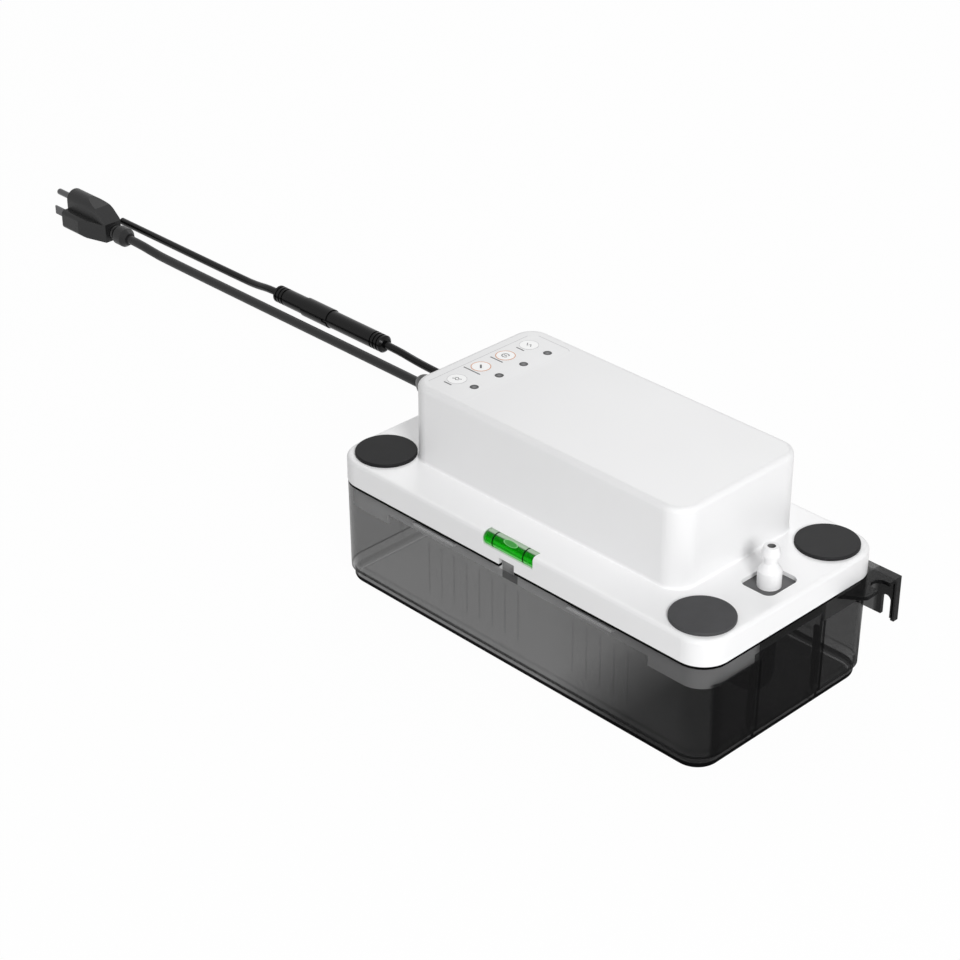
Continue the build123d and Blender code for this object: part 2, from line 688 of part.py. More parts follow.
def board_terminals():
    """Screw terminal strip with one wire mouth per pole."""
    x = BOARD_X + BOARD_LENGTH / 2 - TERMINAL_DEPTH / 2 - COMPONENT_CHAMFER
    half = TERMINAL_POLES * TERMINAL_PITCH / 2
    under = BOARD_TOP - BOARD_T
    strip = block(x - TERMINAL_DEPTH / 2, x + TERMINAL_DEPTH / 2, BOARD_Y - half, BOARD_Y + half,
                  under - TERMINAL_HEIGHT, under)
    for i in range(TERMINAL_POLES):
        mouth_y = BOARD_Y - half + (i + 0.5) * TERMINAL_PITCH
        strip -= lying(x, x + TERMINAL_DEPTH, mouth_y, under - TERMINAL_HEIGHT * 0.35, TERMINAL_PITCH * 0.3)
        strip -= post(x - TERMINAL_DEPTH * 0.15, mouth_y, under - TERMINAL_HEIGHT - 1,
                      under - TERMINAL_HEIGHT * 0.6, TERMINAL_PITCH * 0.28)
    return strip


def board_buzzer():
    """Alarm buzzer: a round can with a sound hole."""
    x, y = BOARD_X + BUZZER_AT[0], BOARD_Y + BUZZER_AT[1]
    top = BOARD_TOP + BUZZER_HEIGHT
    return post(x, y, BOARD_TOP, top, BUZZER_R) - post(x, y, top - 2 * BUZZER_HOLE_R, top, BUZZER_HOLE_R)


# ---------------------------------------------------------------- chassis
def motor_bolts():
    """Four bolt places round the shaft."""
    return [(MOTOR_X + sx * MOTOR_BOLT_X, MOTOR_Y + sy * MOTOR_BOLT_Y) for sx in (-1, 1) for sy in (-1, 1)]


def column_screws():
    """Three screw places on the pump column's flange."""
    return [(MOTOR_X + COLUMN_SCREW_R * cos(radians(a)), MOTOR_Y + COLUMN_SCREW_R * sin(radians(a)))
            for a in (90, 210, 330)]


def chassis():
    """Plate under the housing that carries the motor above and the pump and floats below."""
    plate = slab(HOUSING_IN_LENGTH + 2 * CHASSIS_MARGIN, HOUSING_IN_WIDTH + 2 * CHASSIS_MARGIN,
                 HOUSING_CORNER_R - COVER_WALL + CHASSIS_MARGIN, CHASSIS_Z, DECK_UNDER, HOUSING_X, HOUSING_Y)
    tongue_length = OUTLET_X + TONGUE_END - MOTOR_X
    plate += slab(tongue_length, TONGUE_WIDTH, TONGUE_R, CHASSIS_Z, DECK_UNDER,
                  MOTOR_X + tongue_length / 2, OUTLET_Y)
    for x, y in motor_bolts():
        plate += post(x, y, DECK_UNDER, DECK_UNDER + MOTOR_POST_H, MOTOR_POST_R)
        plate -= post(x, y, DECK_UNDER, DECK_UNDER + MOTOR_POST_H, SCREW_R + SCREW_GAP)
    for x, y in boss_centres():
        plate -= post(x, y, CHASSIS_Z, DECK_UNDER, SCREW_R + SCREW_PASS_GAP)
    for x, y in column_screws():
        plate += post(x, y, DECK_UNDER, DECK_UNDER + MOTOR_POST_H / 2, BOSS_R)
        plate -= post(x, y, CHASSIS_Z, DECK_UNDER + MOTOR_POST_H / 4, SCREW_R + SCREW_GAP)
    plate -= post(MOTOR_X, MOTOR_Y, CHASSIS_Z, DECK_UNDER, COLUMN_R - COLUMN_WALL)
    plate -= post(OUTLET_X, OUTLET_Y, CHASSIS_Z, DECK_UNDER, VALVE_BODY_R + VALVE_HOLE_GAP)
    for x, y in ((FLOAT_X, FLOAT_Y), (ALARM_X, ALARM_Y)):
        plate -= post(x, y, CHASSIS_Z, DECK_UNDER, STEM_R + SCREW_GAP)
    return plate


def chassis_screws():
    """Screws that hold the chassis up in the cover's corner bosses."""
    screws = Part()
    for x, y in boss_centres():
        screws += screw(x, y, CHASSIS_Z, SCREW_LENGTH + CHASSIS_T)
    return screws


def board_screws():
    """Screws that hold the control board up to the housing's top."""
    screws = Part()
    for x, y in board_holes():
        screws += screw(x, y, BOARD_TOP - BOARD_T, BOARD_SCREW_LENGTH)
    return screws


# ---------------------------------------------------------------- motor
def stator_core():
    """Laminated U-shaped stack: two legs with pole faces round the rotor, and a yoke for the coil."""
    x0, x1 = MOTOR_X - STACK_BACK, MOTOR_X + STACK_FRONT
    stack = block(x0, x1, MOTOR_Y - STACK_WIDTH / 2, MOTOR_Y + STACK_WIDTH / 2, STACK_Z, STACK_TOP)
    stack -= block(x0 + YOKE_T, MOTOR_X - WINDOW_START, MOTOR_Y - WINDOW_WIDTH / 2,
                   MOTOR_Y + WINDOW_WIDTH / 2, STACK_Z, STACK_TOP)
    stack -= post(MOTOR_X, MOTOR_Y, STACK_Z, STACK_TOP, ROTOR_R + ROTOR_GAP)
    stack -= block(MOTOR_X - WINDOW_START - 1, x1 + 1, MOTOR_Y - POLE_SLOT / 2, MOTOR_Y + POLE_SLOT / 2,
                   STACK_Z, STACK_TOP)
    for x, y in motor_bolts():
        stack -= post(x, y, STACK_Z, STACK_TOP, SCREW_R + SCREW_PASS_GAP)
    pitch = STACK_T / (LAMINATION_GROOVES + 1)
    for i in range(1, LAMINATION_GROOVES + 1):
        z = STACK_Z + i * pitch
        for side in (-1, 1):
            y = MOTOR_Y + side * STACK_WIDTH / 2
            stack -= block(x0, x1, y - GROOVE, y + GROOVE, z - GROOVE / 2, z + GROOVE / 2)
    return stack


def coil_space(margin, half_length):
    """Block round the yoke, grown by a margin on its four long faces."""
    x0 = MOTOR_X - STACK_BACK
    return block(x0 - margin, x0 + YOKE_T + margin, MOTOR_Y - half_length, MOTOR_Y + half_length,
                 STACK_Z - margin, STACK_TOP + margin)


def coil_bobbin():
    """Plastic spool on the yoke with a cheek at each end."""
    half = WINDOW_WIDTH / 2 - BOBBIN_GAP
    spool = coil_space(BOBBIN_GAP + BOBBIN_WALL, half)
    outer = BOBBIN_GAP + BOBBIN_WALL + COIL_BUILD
    for side in (-1, 1):
        inside = MOTOR_Y + side * (half - BOBBIN_WALL)
        cheek = coil_space(outer, half)
        spool += cheek & block(-DECK_LENGTH, DECK_LENGTH, inside, MOTOR_Y + side * half, 0, HOUSING_TOP)
    return spool - coil_space(BOBBIN_GAP, WINDOW_WIDTH)


def stator_coil():
    """Winding between the bobbin's cheeks, rounded at its corners."""
    half = WINDOW_WIDTH / 2 - BOBBIN_GAP - BOBBIN_WALL
    winding = coil_space(BOBBIN_GAP + BOBBIN_WALL + COIL_BUILD * 0.92, half)
    winding = fillet(winding.edges().filter_by(Axis.Y), COIL_BUILD * 0.6)
    return winding - coil_space(BOBBIN_GAP + BOBBIN_WALL, half)


def bearing_bracket(face_z, up):
    """Dished bridge over one end of the stack; up = 1 rises from face_z, -1 hangs from it."""
    far = face_z + up * BRACKET_H
    plate_in = far - up * BRACKET_T
    dx, dy = BRACKET_LENGTH / 2, STACK_WIDTH / 2 - 1
    bridge = block(MOTOR_X - dx, MOTOR_X + dx, MOTOR_Y - dy, MOTOR_Y + dy, *sorted((plate_in, far)))
    for side in (-1, 1):
        bridge += block(MOTOR_X - dx, MOTOR_X + dx, MOTOR_Y + side * (dy - BRACKET_FOOT), MOTOR_Y + side * dy,
                        *sorted((face_z, far)))
    tip = far + up * BEARING_PROUD
    bridge += post(MOTOR_X, MOTOR_Y, *sorted((tip - up * BEARING_LENGTH, tip)), BEARING_R + BRACKET_T)
    bridge -= post(MOTOR_X, MOTOR_Y, *sorted((face_z - up, tip)), BEARING_R)
    for x, y in motor_bolts():
        bridge -= post(x, y, *sorted((face_z - up, far + up)), SCREW_R + SCREW_PASS_GAP)
    return bridge


def bearing(face_z, up):
    """Bronze bush in a bearing bracket."""
    far = face_z + up * (BRACKET_H + BEARING_PROUD)
    return ring(MOTOR_X, MOTOR_Y, *sorted((far - up * BEARING_LENGTH, far)), BEARING_R, SHAFT_R + BEARING_GAP)


def motor_bolt_set():
    """Long bolts through both brackets and the stack into the chassis posts."""
    top = STACK_TOP + BRACKET_H
    bolts = Part()
    for x, y in motor_bolts():
        bolts += screw(x, y, top, top - DECK_UNDER - 1.0, up=-1)
    return bolts


def motor_shaft():
    """Steel shaft from the impeller up to the fan."""
    return post(MOTOR_X, MOTOR_Y, CHAMBER_Z + IMPELLER_GAP + 1.0, FAN_Z + FAN_H - 1.0, SHAFT_R)


def rotor_core():
    """Squirrel-cage rotor with a short end ring at each face."""
    core = ring(MOTOR_X, MOTOR_Y, STACK_Z, STACK_TOP, ROTOR_R, SHAFT_R)
    for z0, z1 in ((STACK_Z - 1.5, STACK_Z), (STACK_TOP, STACK_TOP + 1.5)):
        core += ring(MOTOR_X, MOTOR_Y, z0, z1, ROTOR_R - 1.0, BEARING_R + 1.0)
    return core


def cooling_fan():
    """Open radial fan pressed on the shaft's top end."""
    fan = ring(MOTOR_X, MOTOR_Y, FAN_Z, FAN_Z + FAN_H, FAN_HUB_R, SHAFT_R)
    fan += ring(MOTOR_X, MOTOR_Y, FAN_Z, FAN_Z + 1.4, FAN_R * 0.72, FAN_HUB_R - 1)
    blade = Pos((FAN_HUB_R + FAN_R) / 2 - 0.5, 0, FAN_H / 2) * Box(FAN_R - FAN_HUB_R + 1, 1.4, FAN_H)
    for i in range(FAN_BLADES):
        fan += Pos(MOTOR_X, MOTOR_Y, FAN_Z) * (Rot(0, 0, i * 360 / FAN_BLADES) * blade)
    return fan


# ---------------------------------------------------------------- pump
def impeller():
    """Semi-open impeller: a disc with curved blades facing the eye."""
    disc_top = CHAMBER_Z + CHAMBER_H - IMPELLER_GAP
    low = CHAMBER_Z + IMPELLER_GAP
    wheel = ring(MOTOR_X, MOTOR_Y, disc_top - IMPELLER_DISC_T, disc_top, IMPELLER_R, SHAFT_R)
    wheel += ring(MOTOR_X, MOTOR_Y, low + 1.0, disc_top, IMPELLER_HUB_R, SHAFT_R)
    root, tip = IMPELLER_HUB_R - IMPELLER_BLADE_T / 3, IMPELLER_R - IMPELLER_BLADE_T / 2
    middle = (root + tip) / 2
    arc = ThreePointArc((root, 0), (middle, -IMPELLER_SWEEP * 0.26), (tip, -IMPELLER_SWEEP))
    blade = extrude(trace(arc, line_width=IMPELLER_BLADE_T), disc_top - low - IMPELLER_DISC_T / 2)
    for i in range(IMPELLER_BLADES):
        wheel += Pos(MOTOR_X, MOTOR_Y, low) * (Rot(0, 0, i * 360 / IMPELLER_BLADES) * blade)
    return wheel - post(MOTOR_X, MOTOR_Y, low - 1, disc_top + 1, SHAFT_R)


def pump_column():
    """Casing upper half, its outlet channel and the column that hangs it from the chassis."""
    casing = post(MOTOR_X, MOTOR_Y, CHAMBER_Z, VOLUTE_TOP, VOLUTE_R + VOLUTE_WALL)
    end = MOTOR_X + CHANNEL_REACH
    casing += lying(MOTOR_X, end - SPIGOT_LENGTH, OUTLET_Y, PIPE_Z, PIPE_R)
    casing += lying(MOTOR_X, end, OUTLET_Y, PIPE_Z, SPIGOT_R)
    casing -= post(MOTOR_X, MOTOR_Y, 0, CHAMBER_Z, VOLUTE_R + VOLUTE_WALL)
    casing += ring(MOTOR_X, MOTOR_Y, VOLUTE_TOP, CHASSIS_Z, COLUMN_R, COLUMN_R - COLUMN_WALL)
    casing += ring(MOTOR_X, MOTOR_Y, CHASSIS_Z - COLUMN_FLANGE_T, CHASSIS_Z, COLUMN_FLANGE_R,
                   COLUMN_R - COLUMN_WALL)
    for x, y in column_screws():
        casing -= post(x, y, CHASSIS_Z - COLUMN_FLANGE_T, CHASSIS_Z, SCREW_R + SCREW_PASS_GAP)
    casing -= post(MOTOR_X, MOTOR_Y, CHAMBER_Z, CHAMBER_Z + CHAMBER_H, VOLUTE_R)
    casing -= post(MOTOR_X, MOTOR_Y, CHAMBER_Z, VOLUTE_TOP, SHAFT_R + 1.5)
    casing -= lying(MOTOR_X, end, OUTLET_Y, PIPE_Z, PIPE_BORE_R)
    return casing


def column_screw_set():
    """Screws that hold the pump column to the chassis."""
    screws = Part()
    for x, y in column_screws():
        screws += screw(x, y, CHASSIS_Z - COLUMN_FLANGE_T, COLUMN_FLANGE_T + CHASSIS_T)
    return screws


def volute_plate():
    """Bottom plate of the casing with the suction eye and a locating spigot."""
    plate = ring(MOTOR_X, MOTOR_Y, PLATE_Z, CHAMBER_Z, VOLUTE_R + VOLUTE_WALL, EYE_R)
    plate += ring(MOTOR_X, MOTOR_Y, CHAMBER_Z, CHAMBER_Z + IMPELLER_GAP / 2, VOLUTE_R - SPIGOT_GAP,
                  VOLUTE_R - VOLUTE_WALL)
    return plate & post(MOTOR_X, MOTOR_Y, 0, DECK_TOP, VOLUTE_R + VOLUTE_WALL)


def intake_strainer():
    """Slotted ring under the casing that keeps grit out of the eye."""
    outer = VOLUTE_R + VOLUTE_WALL
    body = ring(MOTOR_X, MOTOR_Y, STRAINER_Z, PLATE_Z, outer, outer - STRAINER_WALL)
    slot = Pos(outer, 0, STRAINER_H / 2 - 0.6) * Box(4 * STRAINER_WALL, STRAINER_SLOT_W, STRAINER_H - 1.2)
    for i in range(STRAINER_SLOTS):
        body -= Pos(MOTOR_X, MOTOR_Y, STRAINER_Z) * (Rot(0, 0, i * 360 / STRAINER_SLOTS) * slot)
    return body


def discharge_pipe():
    """Bent riser from the casing's outlet up to the check valve."""
    start = MOTOR_X + CHANNEL_REACH
    path = FilletPolyline((start, OUTLET_Y, PIPE_Z), (OUTLET_X, OUTLET_Y, PIPE_Z),
                          (OUTLET_X, OUTLET_Y, PIPE_TOP), radius=PIPE_BEND_R)
    face = Plane(origin=(start, OUTLET_Y, PIPE_Z), z_dir=(1, 0, 0))
    outer = sweep(face * Circle(PIPE_R), path)
    bore = sweep(face * Circle(PIPE_BORE_R), path)
    socket = start - SPIGOT_LENGTH
    pipe = outer + lying(socket, start + SPIGOT_LENGTH / 2, OUTLET_Y, PIPE_Z, SOCKET_R)
    pipe -= lying(socket, start, OUTLET_Y, PIPE_Z, SPIGOT_R + SPIGOT_GAP)
    return pipe - bore


# ---------------------------------------------------------------- discharge check valve
def ball_rest_z():
    """Height of the ball's centre when it rests on the riser's mouth."""
    return PIPE_TOP + sqrt(BALL_R ** 2 - PIPE_BORE_R ** 2) + SEAT_GAP


def check_valve():
    """Check valve body: skirt over the riser, ball chamber, and the hose barb above the deck."""
    shoulder = CHASSIS_Z - VALVE_SEAL_T
    barb_low = NECK_Z[1]
    outline = [(0, VALVE_BOTTOM), (VALVE_SKIRT_R, VALVE_BOTTOM), (VALVE_SKIRT_R, shoulder),
               (VALVE_BODY_R, shoulder), (VALVE_BODY_R, VALVE_SHOULDER_Z), (NECK_R, NECK_Z[0]),
               (NECK_R, barb_low), (BARB_R, barb_low + 0.8), (BARB_R, barb_low + 0.8 + BARB_LAND),
               (BARB_TIP_R, BARB_TOP_Z), (0, BARB_TOP_Z)]
    body = turned(outline, OUTLET_X, OUTLET_Y)
    chamber_top = ball_rest_z() + BALL_TRAVEL + BALL_R + BALL_GAP
    body -= post(OUTLET_X, OUTLET_Y, VALVE_BOTTOM, PIPE_TOP, PIPE_R + SPIGOT_GAP)
    body -= post(OUTLET_X, OUTLET_Y, PIPE_TOP, chamber_top, BALL_R + BALL_GAP)
    body -= post(OUTLET_X, OUTLET_Y, chamber_top, BARB_TOP_Z, ORIFICE_R)
    return body


def valve_seal():
    """Rubber washer between the valve's shoulder and the chassis."""
    return ring(OUTLET_X, OUTLET_Y, CHASSIS_Z - VALVE_SEAL_T, CHASSIS_Z, VALVE_SKIRT_R,
                VALVE_BODY_R + VALVE_HOLE_GAP)


# ---------------------------------------------------------------- floats
def float_stem(x, y, rest_z):
    """Hollow stem of a float switch, flanged above the chassis and grooved for its clip."""
    low = rest_z - CLIP_T - STEM_CAP
    stem = post(x, y, low, DECK_UNDER + STEM_FLANGE_T, STEM_R)
    stem += post(x, y, DECK_UNDER, DECK_UNDER + STEM_FLANGE_T, STEM_FLANGE_R)
    stem -= post(x, y, low + STEM_CAP, DECK_UNDER + STEM_FLANGE_T, STEM_BORE_R)
    return stem - ring(x, y, rest_z - CLIP_T, rest_z, STEM_R + 1, STEM_R - CLIP_GROOVE)


def float_clip(x, y, rest_z):
    """Split ring in the stem's groove that stops the float."""
    clip = ring(x, y, rest_z - CLIP_T, rest_z, CLIP_R, STEM_R - CLIP_GROOVE + SCREW_GAP)
    return clip - block(x, x + 2 * CLIP_R, y - 1.5, y + 1.5, rest_z - 2 * CLIP_T, rest_z + CLIP_T)


def float_body(x, y, rest_z, radius, height):
    """Hollow float that slides on its stem, with a pocket for the magnet."""
    z0 = rest_z + SEAT_GAP
    shell = ring(x, y, z0, z0 + height, radius, STEM_R + STEM_GAP)
    outer = [e for e in shell.edges().filter_by(GeomType.CIRCLE) if e.radius > STEM_R + 2]
    shell = fillet(outer, 2.0)
    middle = z0 + height / 2
    return shell - ring(x, y, middle - MAGNET_H / 2, middle + MAGNET_H / 2, MAGNET_R, STEM_R + 1.5)


def float_magnet(x, y, rest_z, height):
    """Ring magnet sealed in the float."""
    middle = rest_z + SEAT_GAP + height / 2
    return ring(x, y, middle - MAGNET_H / 2 + SEAT_GAP, middle + MAGNET_H / 2 - SEAT_GAP,
                MAGNET_R - SEAT_GAP, STEM_R + 1.5 + SEAT_GAP)


def reed_switches():
    """Glass reed capsules standing in the two stems."""
    capsules = Part()
    for x, y, rest_z in ((FLOAT_X, FLOAT_Y, FLOAT_REST_Z), (ALARM_X, ALARM_Y, ALARM_REST_Z)):
        low = rest_z - CLIP_T
        capsule = post(x, y, low, low + REED_LENGTH, REED_R)
        capsules += fillet(capsule.edges().filter_by(GeomType.CIRCLE), REED_R * 0.7)
    return capsules


# ---------------------------------------------------------------- cords
def strain_relief(y, cord_r, outer_r, length):
    """Tapered, ribbed relief clamped in the housing's end wall; the cord leaves its tip."""
    wall_r = cord_r + RELIEF_NECK
    core_r = cord_r + RELIEF_SKIN
    outline = [(-COVER_WALL - RELIEF_FLANGE_T, 0), (-COVER_WALL - RELIEF_FLANGE_T, outer_r),
               (-COVER_WALL, outer_r), (-COVER_WALL, wall_r), (0, wall_r), (0, outer_r)]
    pitch = (length - 2 * RELIEF_FLANGE_T) / RELIEF_RIBS
    for i in range(RELIEF_RIBS):
        end = RELIEF_FLANGE_T + i * pitch + pitch * 0.6
        radius = outer_r + (core_r - outer_r) * end / length
        outline += [(end, radius), (end, core_r), (end + pitch * 0.4, core_r),
                    (end + pitch * 0.4, radius)]
    outline += [(length, core_r), (length, 0)]
    return turned_lying([(-a, r) for a, r in outline], RELIEF_X0, y, RELIEF_Z)


def corner_radii(points):
    """Arc radii for a route: 0.45 of the shorter run beside each corner, over tan of half the turn."""
    places = [Vector(*p) for p in points]
    radii = []
    for before, here, after in zip(places, places[1:], places[2:]):
        into, out = here - before, after - here
        turn = into.get_angle(out)
        radii.append(0.45 * min(into.length, out.length) / tan(radians(turn / 2)))
    return radii


def cord(name, points, radius):
    """Round cord along straight runs joined by tangent arcs."""
    radii = corner_radii(points)
    path = FilletPolyline(*points, radius=radii)
    start = Plane(origin=path @ 0, z_dir=path % 0)
    tube = sweep(start * Circle(radius), path)
    expected = Circle(radius).area * path.length
    print(name, "length", round(path.length, 1), "radii", [round(r) for r in radii],
          "volume ratio", round(tube.volume / expected, 5))
    return tube


def hanging(tip, drop):
    """Points of a cord's hanging stretch, given from the tip of its relief."""
    return [(tip[0] + x, tip[1] + y, z) for x, y, z in drop]


POWER_ROUTE = hanging((RELIEF_X0 - POWER_RELIEF_LENGTH, POWER_Y), [
    (0, 0, RELIEF_Z),
    (-12.2, 0, RELIEF_Z),
    (-25.2, 3.0, 91.0),
    (-36.7, 9.0, 83.5),
    (-44.7, 17.5, 72.0),
    (-49.2, 28.5, 57.0),
    (-52.7, 41.5, 41.0),
    (-57.2, 55.0, 26.5),
    (-63.7, 68.5, 15.0),
    (-72.2, 81.5, 7.0),
    (-82.7, 93.0, POWER_CORD_R),
]) + [
    (-229.0, 115.0, POWER_CORD_R),
    (-252.0, 120.5, POWER_CORD_R),
    (-300.0, 121.0, POWER_CORD_R),
    (-545.0, 120.4, POWER_CORD_R),
    (-559.0, 118.6, 5.5),
    (-572.0, PLUG_Y, PLUG_AXIS_Z),
    (PLUG_X + PLUG_BULB_LENGTH, PLUG_Y, PLUG_AXIS_Z),
]
SIGNAL_ROUTE = hanging((RELIEF_X0 - SIGNAL_RELIEF_LENGTH, SIGNAL_Y), [
    (0, 0, RELIEF_Z),
    (-11.2, 0, RELIEF_Z),
    (-23.2, 3.0, 91.0),
    (-33.7, 9.5, 83.5),
    (-41.2, 18.5, 72.0),
    (-45.7, 30.0, 57.0),
    (-49.2, 43.5, 41.0),
    (-53.7, 57.5, 26.5),
    (-60.7, 71.0, 15.0),
    (-70.2, 83.5, 7.0),
    (-82.7, 94.0, SIGNAL_CORD_R),
]) + [
    (-226.0, 136.0, SIGNAL_CORD_R),
    (-248.0, 140.2, SIGNAL_CORD_R),
    (-284.0, 140.6, SIGNAL_CORD_R),
    (-300.0, 139.6, 4.2),
    (-313.5, CONNECTOR_Y, COLLAR_R),
    (CONNECTOR_X[0], CONNECTOR_Y, COLLAR_R),
]
EXTENSION_ROUTE = [
    (CONNECTOR_X[1], CONNECTOR_Y, COLLAR_R),
    (-450.0, CONNECTOR_Y, COLLAR_R),
    (-465.0, 139.4, 3.9),
    (-482.0, 140.2, SIGNAL_CORD_R),
    (-625.0, 140.0, SIGNAL_CORD_R),
]


def connector_half(x_tip, x_joint, toward):
    """One half of the in-line connector: a barrel with ring grooves behind its tip."""
    length = abs(x_joint - x_tip)
    bevel = CONNECTOR_PITCH / 2
    groove_r = CONNECTOR_R - CONNECTOR_GROOVE
    outline = [(0, 0), (0, CONNECTOR_R - bevel), (bevel, CONNECTOR_R)]
    for i in range(1, CONNECTOR_GROOVES + 1):
        a = i * CONNECTOR_PITCH
        outline += [(a, CONNECTOR_R), (a, groove_r), (a + bevel, groove_r), (a + bevel, CONNECTOR_R)]
    outline += [(length, CONNECTOR_R), (length, 0)]
    return turned_lying([(toward * a, r) for a, r in outline], x_tip, CONNECTOR_Y, COLLAR_R)


def connector_collar():
    """Locking collar over the joint of the two halves, with an alignment notch."""
    x0, x1 = COLLAR_X
    collar = lying(x0, x1, CONNECTOR_Y, COLLAR_R, COLLAR_R)
    collar -= lying(x0, x1, CONNECTOR_Y, COLLAR_R, CONNECTOR_R)
    notch = block(x0, x0 - COLLAR_NOTCH[0], CONNECTOR_Y - COLLAR_R - 1, CONNECTOR_Y - CONNECTOR_R + 1,
                  COLLAR_R - COLLAR_NOTCH[1] / 2, COLLAR_R + COLLAR_NOTCH[1] / 2)
    return collar - notch


def plug_outline(width, top_z, lobe_r):
    """Cross-section of the mains plug: a flat-bottomed base under a round earth lobe."""
    shoulder = PLUG_LOW_H
    base = Pos(PLUG_Y, shoulder / 2) * RectangleRounded(width, shoulder, min(PLUG_CORNER_R, width / 5))
    lobe = Pos(PLUG_Y, top_z - lobe_r) * Circle(lobe_r)
    stem = Pos(PLUG_Y, (top_z - lobe_r) / 2) * Rectangle(2 * lobe_r, top_z - lobe_r)
    return base + lobe + stem


def plug_body():
    """Moulded mains plug: straight grip, taper to the neck, ribs and a rounded relief bulb."""
    side = Plane(origin=(0, 0, 0), x_dir=(0, 1, 0), z_dir=(1, 0, 0))
    back = PLUG_X - PLUG_RIB_LENGTH
    front = back - PLUG_TAPER - PLUG_STRAIGHT
    full = side * plug_outline(PLUG_WIDTH, PLUG_TOP_Z, PLUG_LOBE_R)
    grip = extrude(Pos(front, 0, 0) * full, PLUG_STRAIGHT)
    end_r = PLUG_NECK_R + PLUG_FACE_MARGIN
    plan = make_face(Polyline((back - PLUG_TAPER, PLUG_Y - PLUG_WIDTH / 2), (back, PLUG_Y - end_r),
                              (back, PLUG_Y + end_r), (back - PLUG_TAPER, PLUG_Y + PLUG_WIDTH / 2), close=True))
    profile = make_face(Polyline((back - PLUG_TAPER, 0, 0), (back, 0, 0.8), (back, 0, PLUG_AXIS_Z + end_r),
                                 (back - PLUG_TAPER * 0.45, 0, PLUG_TOP_Z - PLUG_TOP_FALL),
                                 (back - PLUG_TAPER, 0, PLUG_TOP_Z), close=True))
    long_full = extrude(Pos(back - PLUG_TAPER, 0, 0) * full, PLUG_TAPER)
    taper = long_full & extrude(plan, PLUG_TOP_Z + 1) & extrude(Pos(0, PLUG_Y + PLUG_WIDTH, 0) * profile,
                                                                2 * PLUG_WIDTH)
    groove_r = PLUG_NECK_R - PLUG_RIB_DEPTH
    ribs = [(0, 0), (0, PLUG_NECK_R), (1.4, PLUG_NECK_R), (1.4, groove_r), (3.2, groove_r),
            (3.2, PLUG_NECK_R), (5.2, PLUG_NECK_R), (5.2, groove_r), (PLUG_RIB_LENGTH, groove_r),
            (PLUG_RIB_LENGTH, PLUG_BULB_R - PLUG_RIB_DEPTH), (PLUG_RIB_LENGTH + PLUG_RIB_DEPTH, PLUG_BULB_R),
            (PLUG_RIB_LENGTH + PLUG_BULB_LENGTH - 4.0, PLUG_BULB_R),
            (PLUG_RIB_LENGTH + PLUG_BULB_LENGTH, PLUG_BULB_R - 2.6),
            (PLUG_RIB_LENGTH + PLUG_BULB_LENGTH, 0)]
    return grip + taper + turned_lying(ribs, back, PLUG_Y, PLUG_AXIS_Z)


def plug_front():
    """X of the plug's contact face."""
    return PLUG_X - PLUG_RIB_LENGTH - PLUG_TAPER - PLUG_STRAIGHT


def plug_blades():
    """Two flat blades."""
    length, thick, tall = BLADE_SIZE
    blades = Part()
    for side in (-1, 1):
        y = PLUG_Y + side * BLADE_SPACING / 2
        blade = block(plug_front() - length, plug_front(), y - thick / 2, y + thick / 2,
                      BLADE_Z - tall / 2, BLADE_Z + tall / 2)
        blades += chamfer(blade.edges().filter_by(Axis.Z).sort_by(Axis.X)[:2], 0.4)
    return blades


def ground_pin():
    """Round earth pin with a domed tip."""
    z = BLADE_Z + GROUND_PIN_RISE
    pin = lying(plug_front() - GROUND_PIN_LENGTH, plug_front(), PLUG_Y, z, GROUND_PIN_R)
    return fillet(pin.edges().sort_by(Axis.X)[0], GROUND_PIN_R * 0.8)


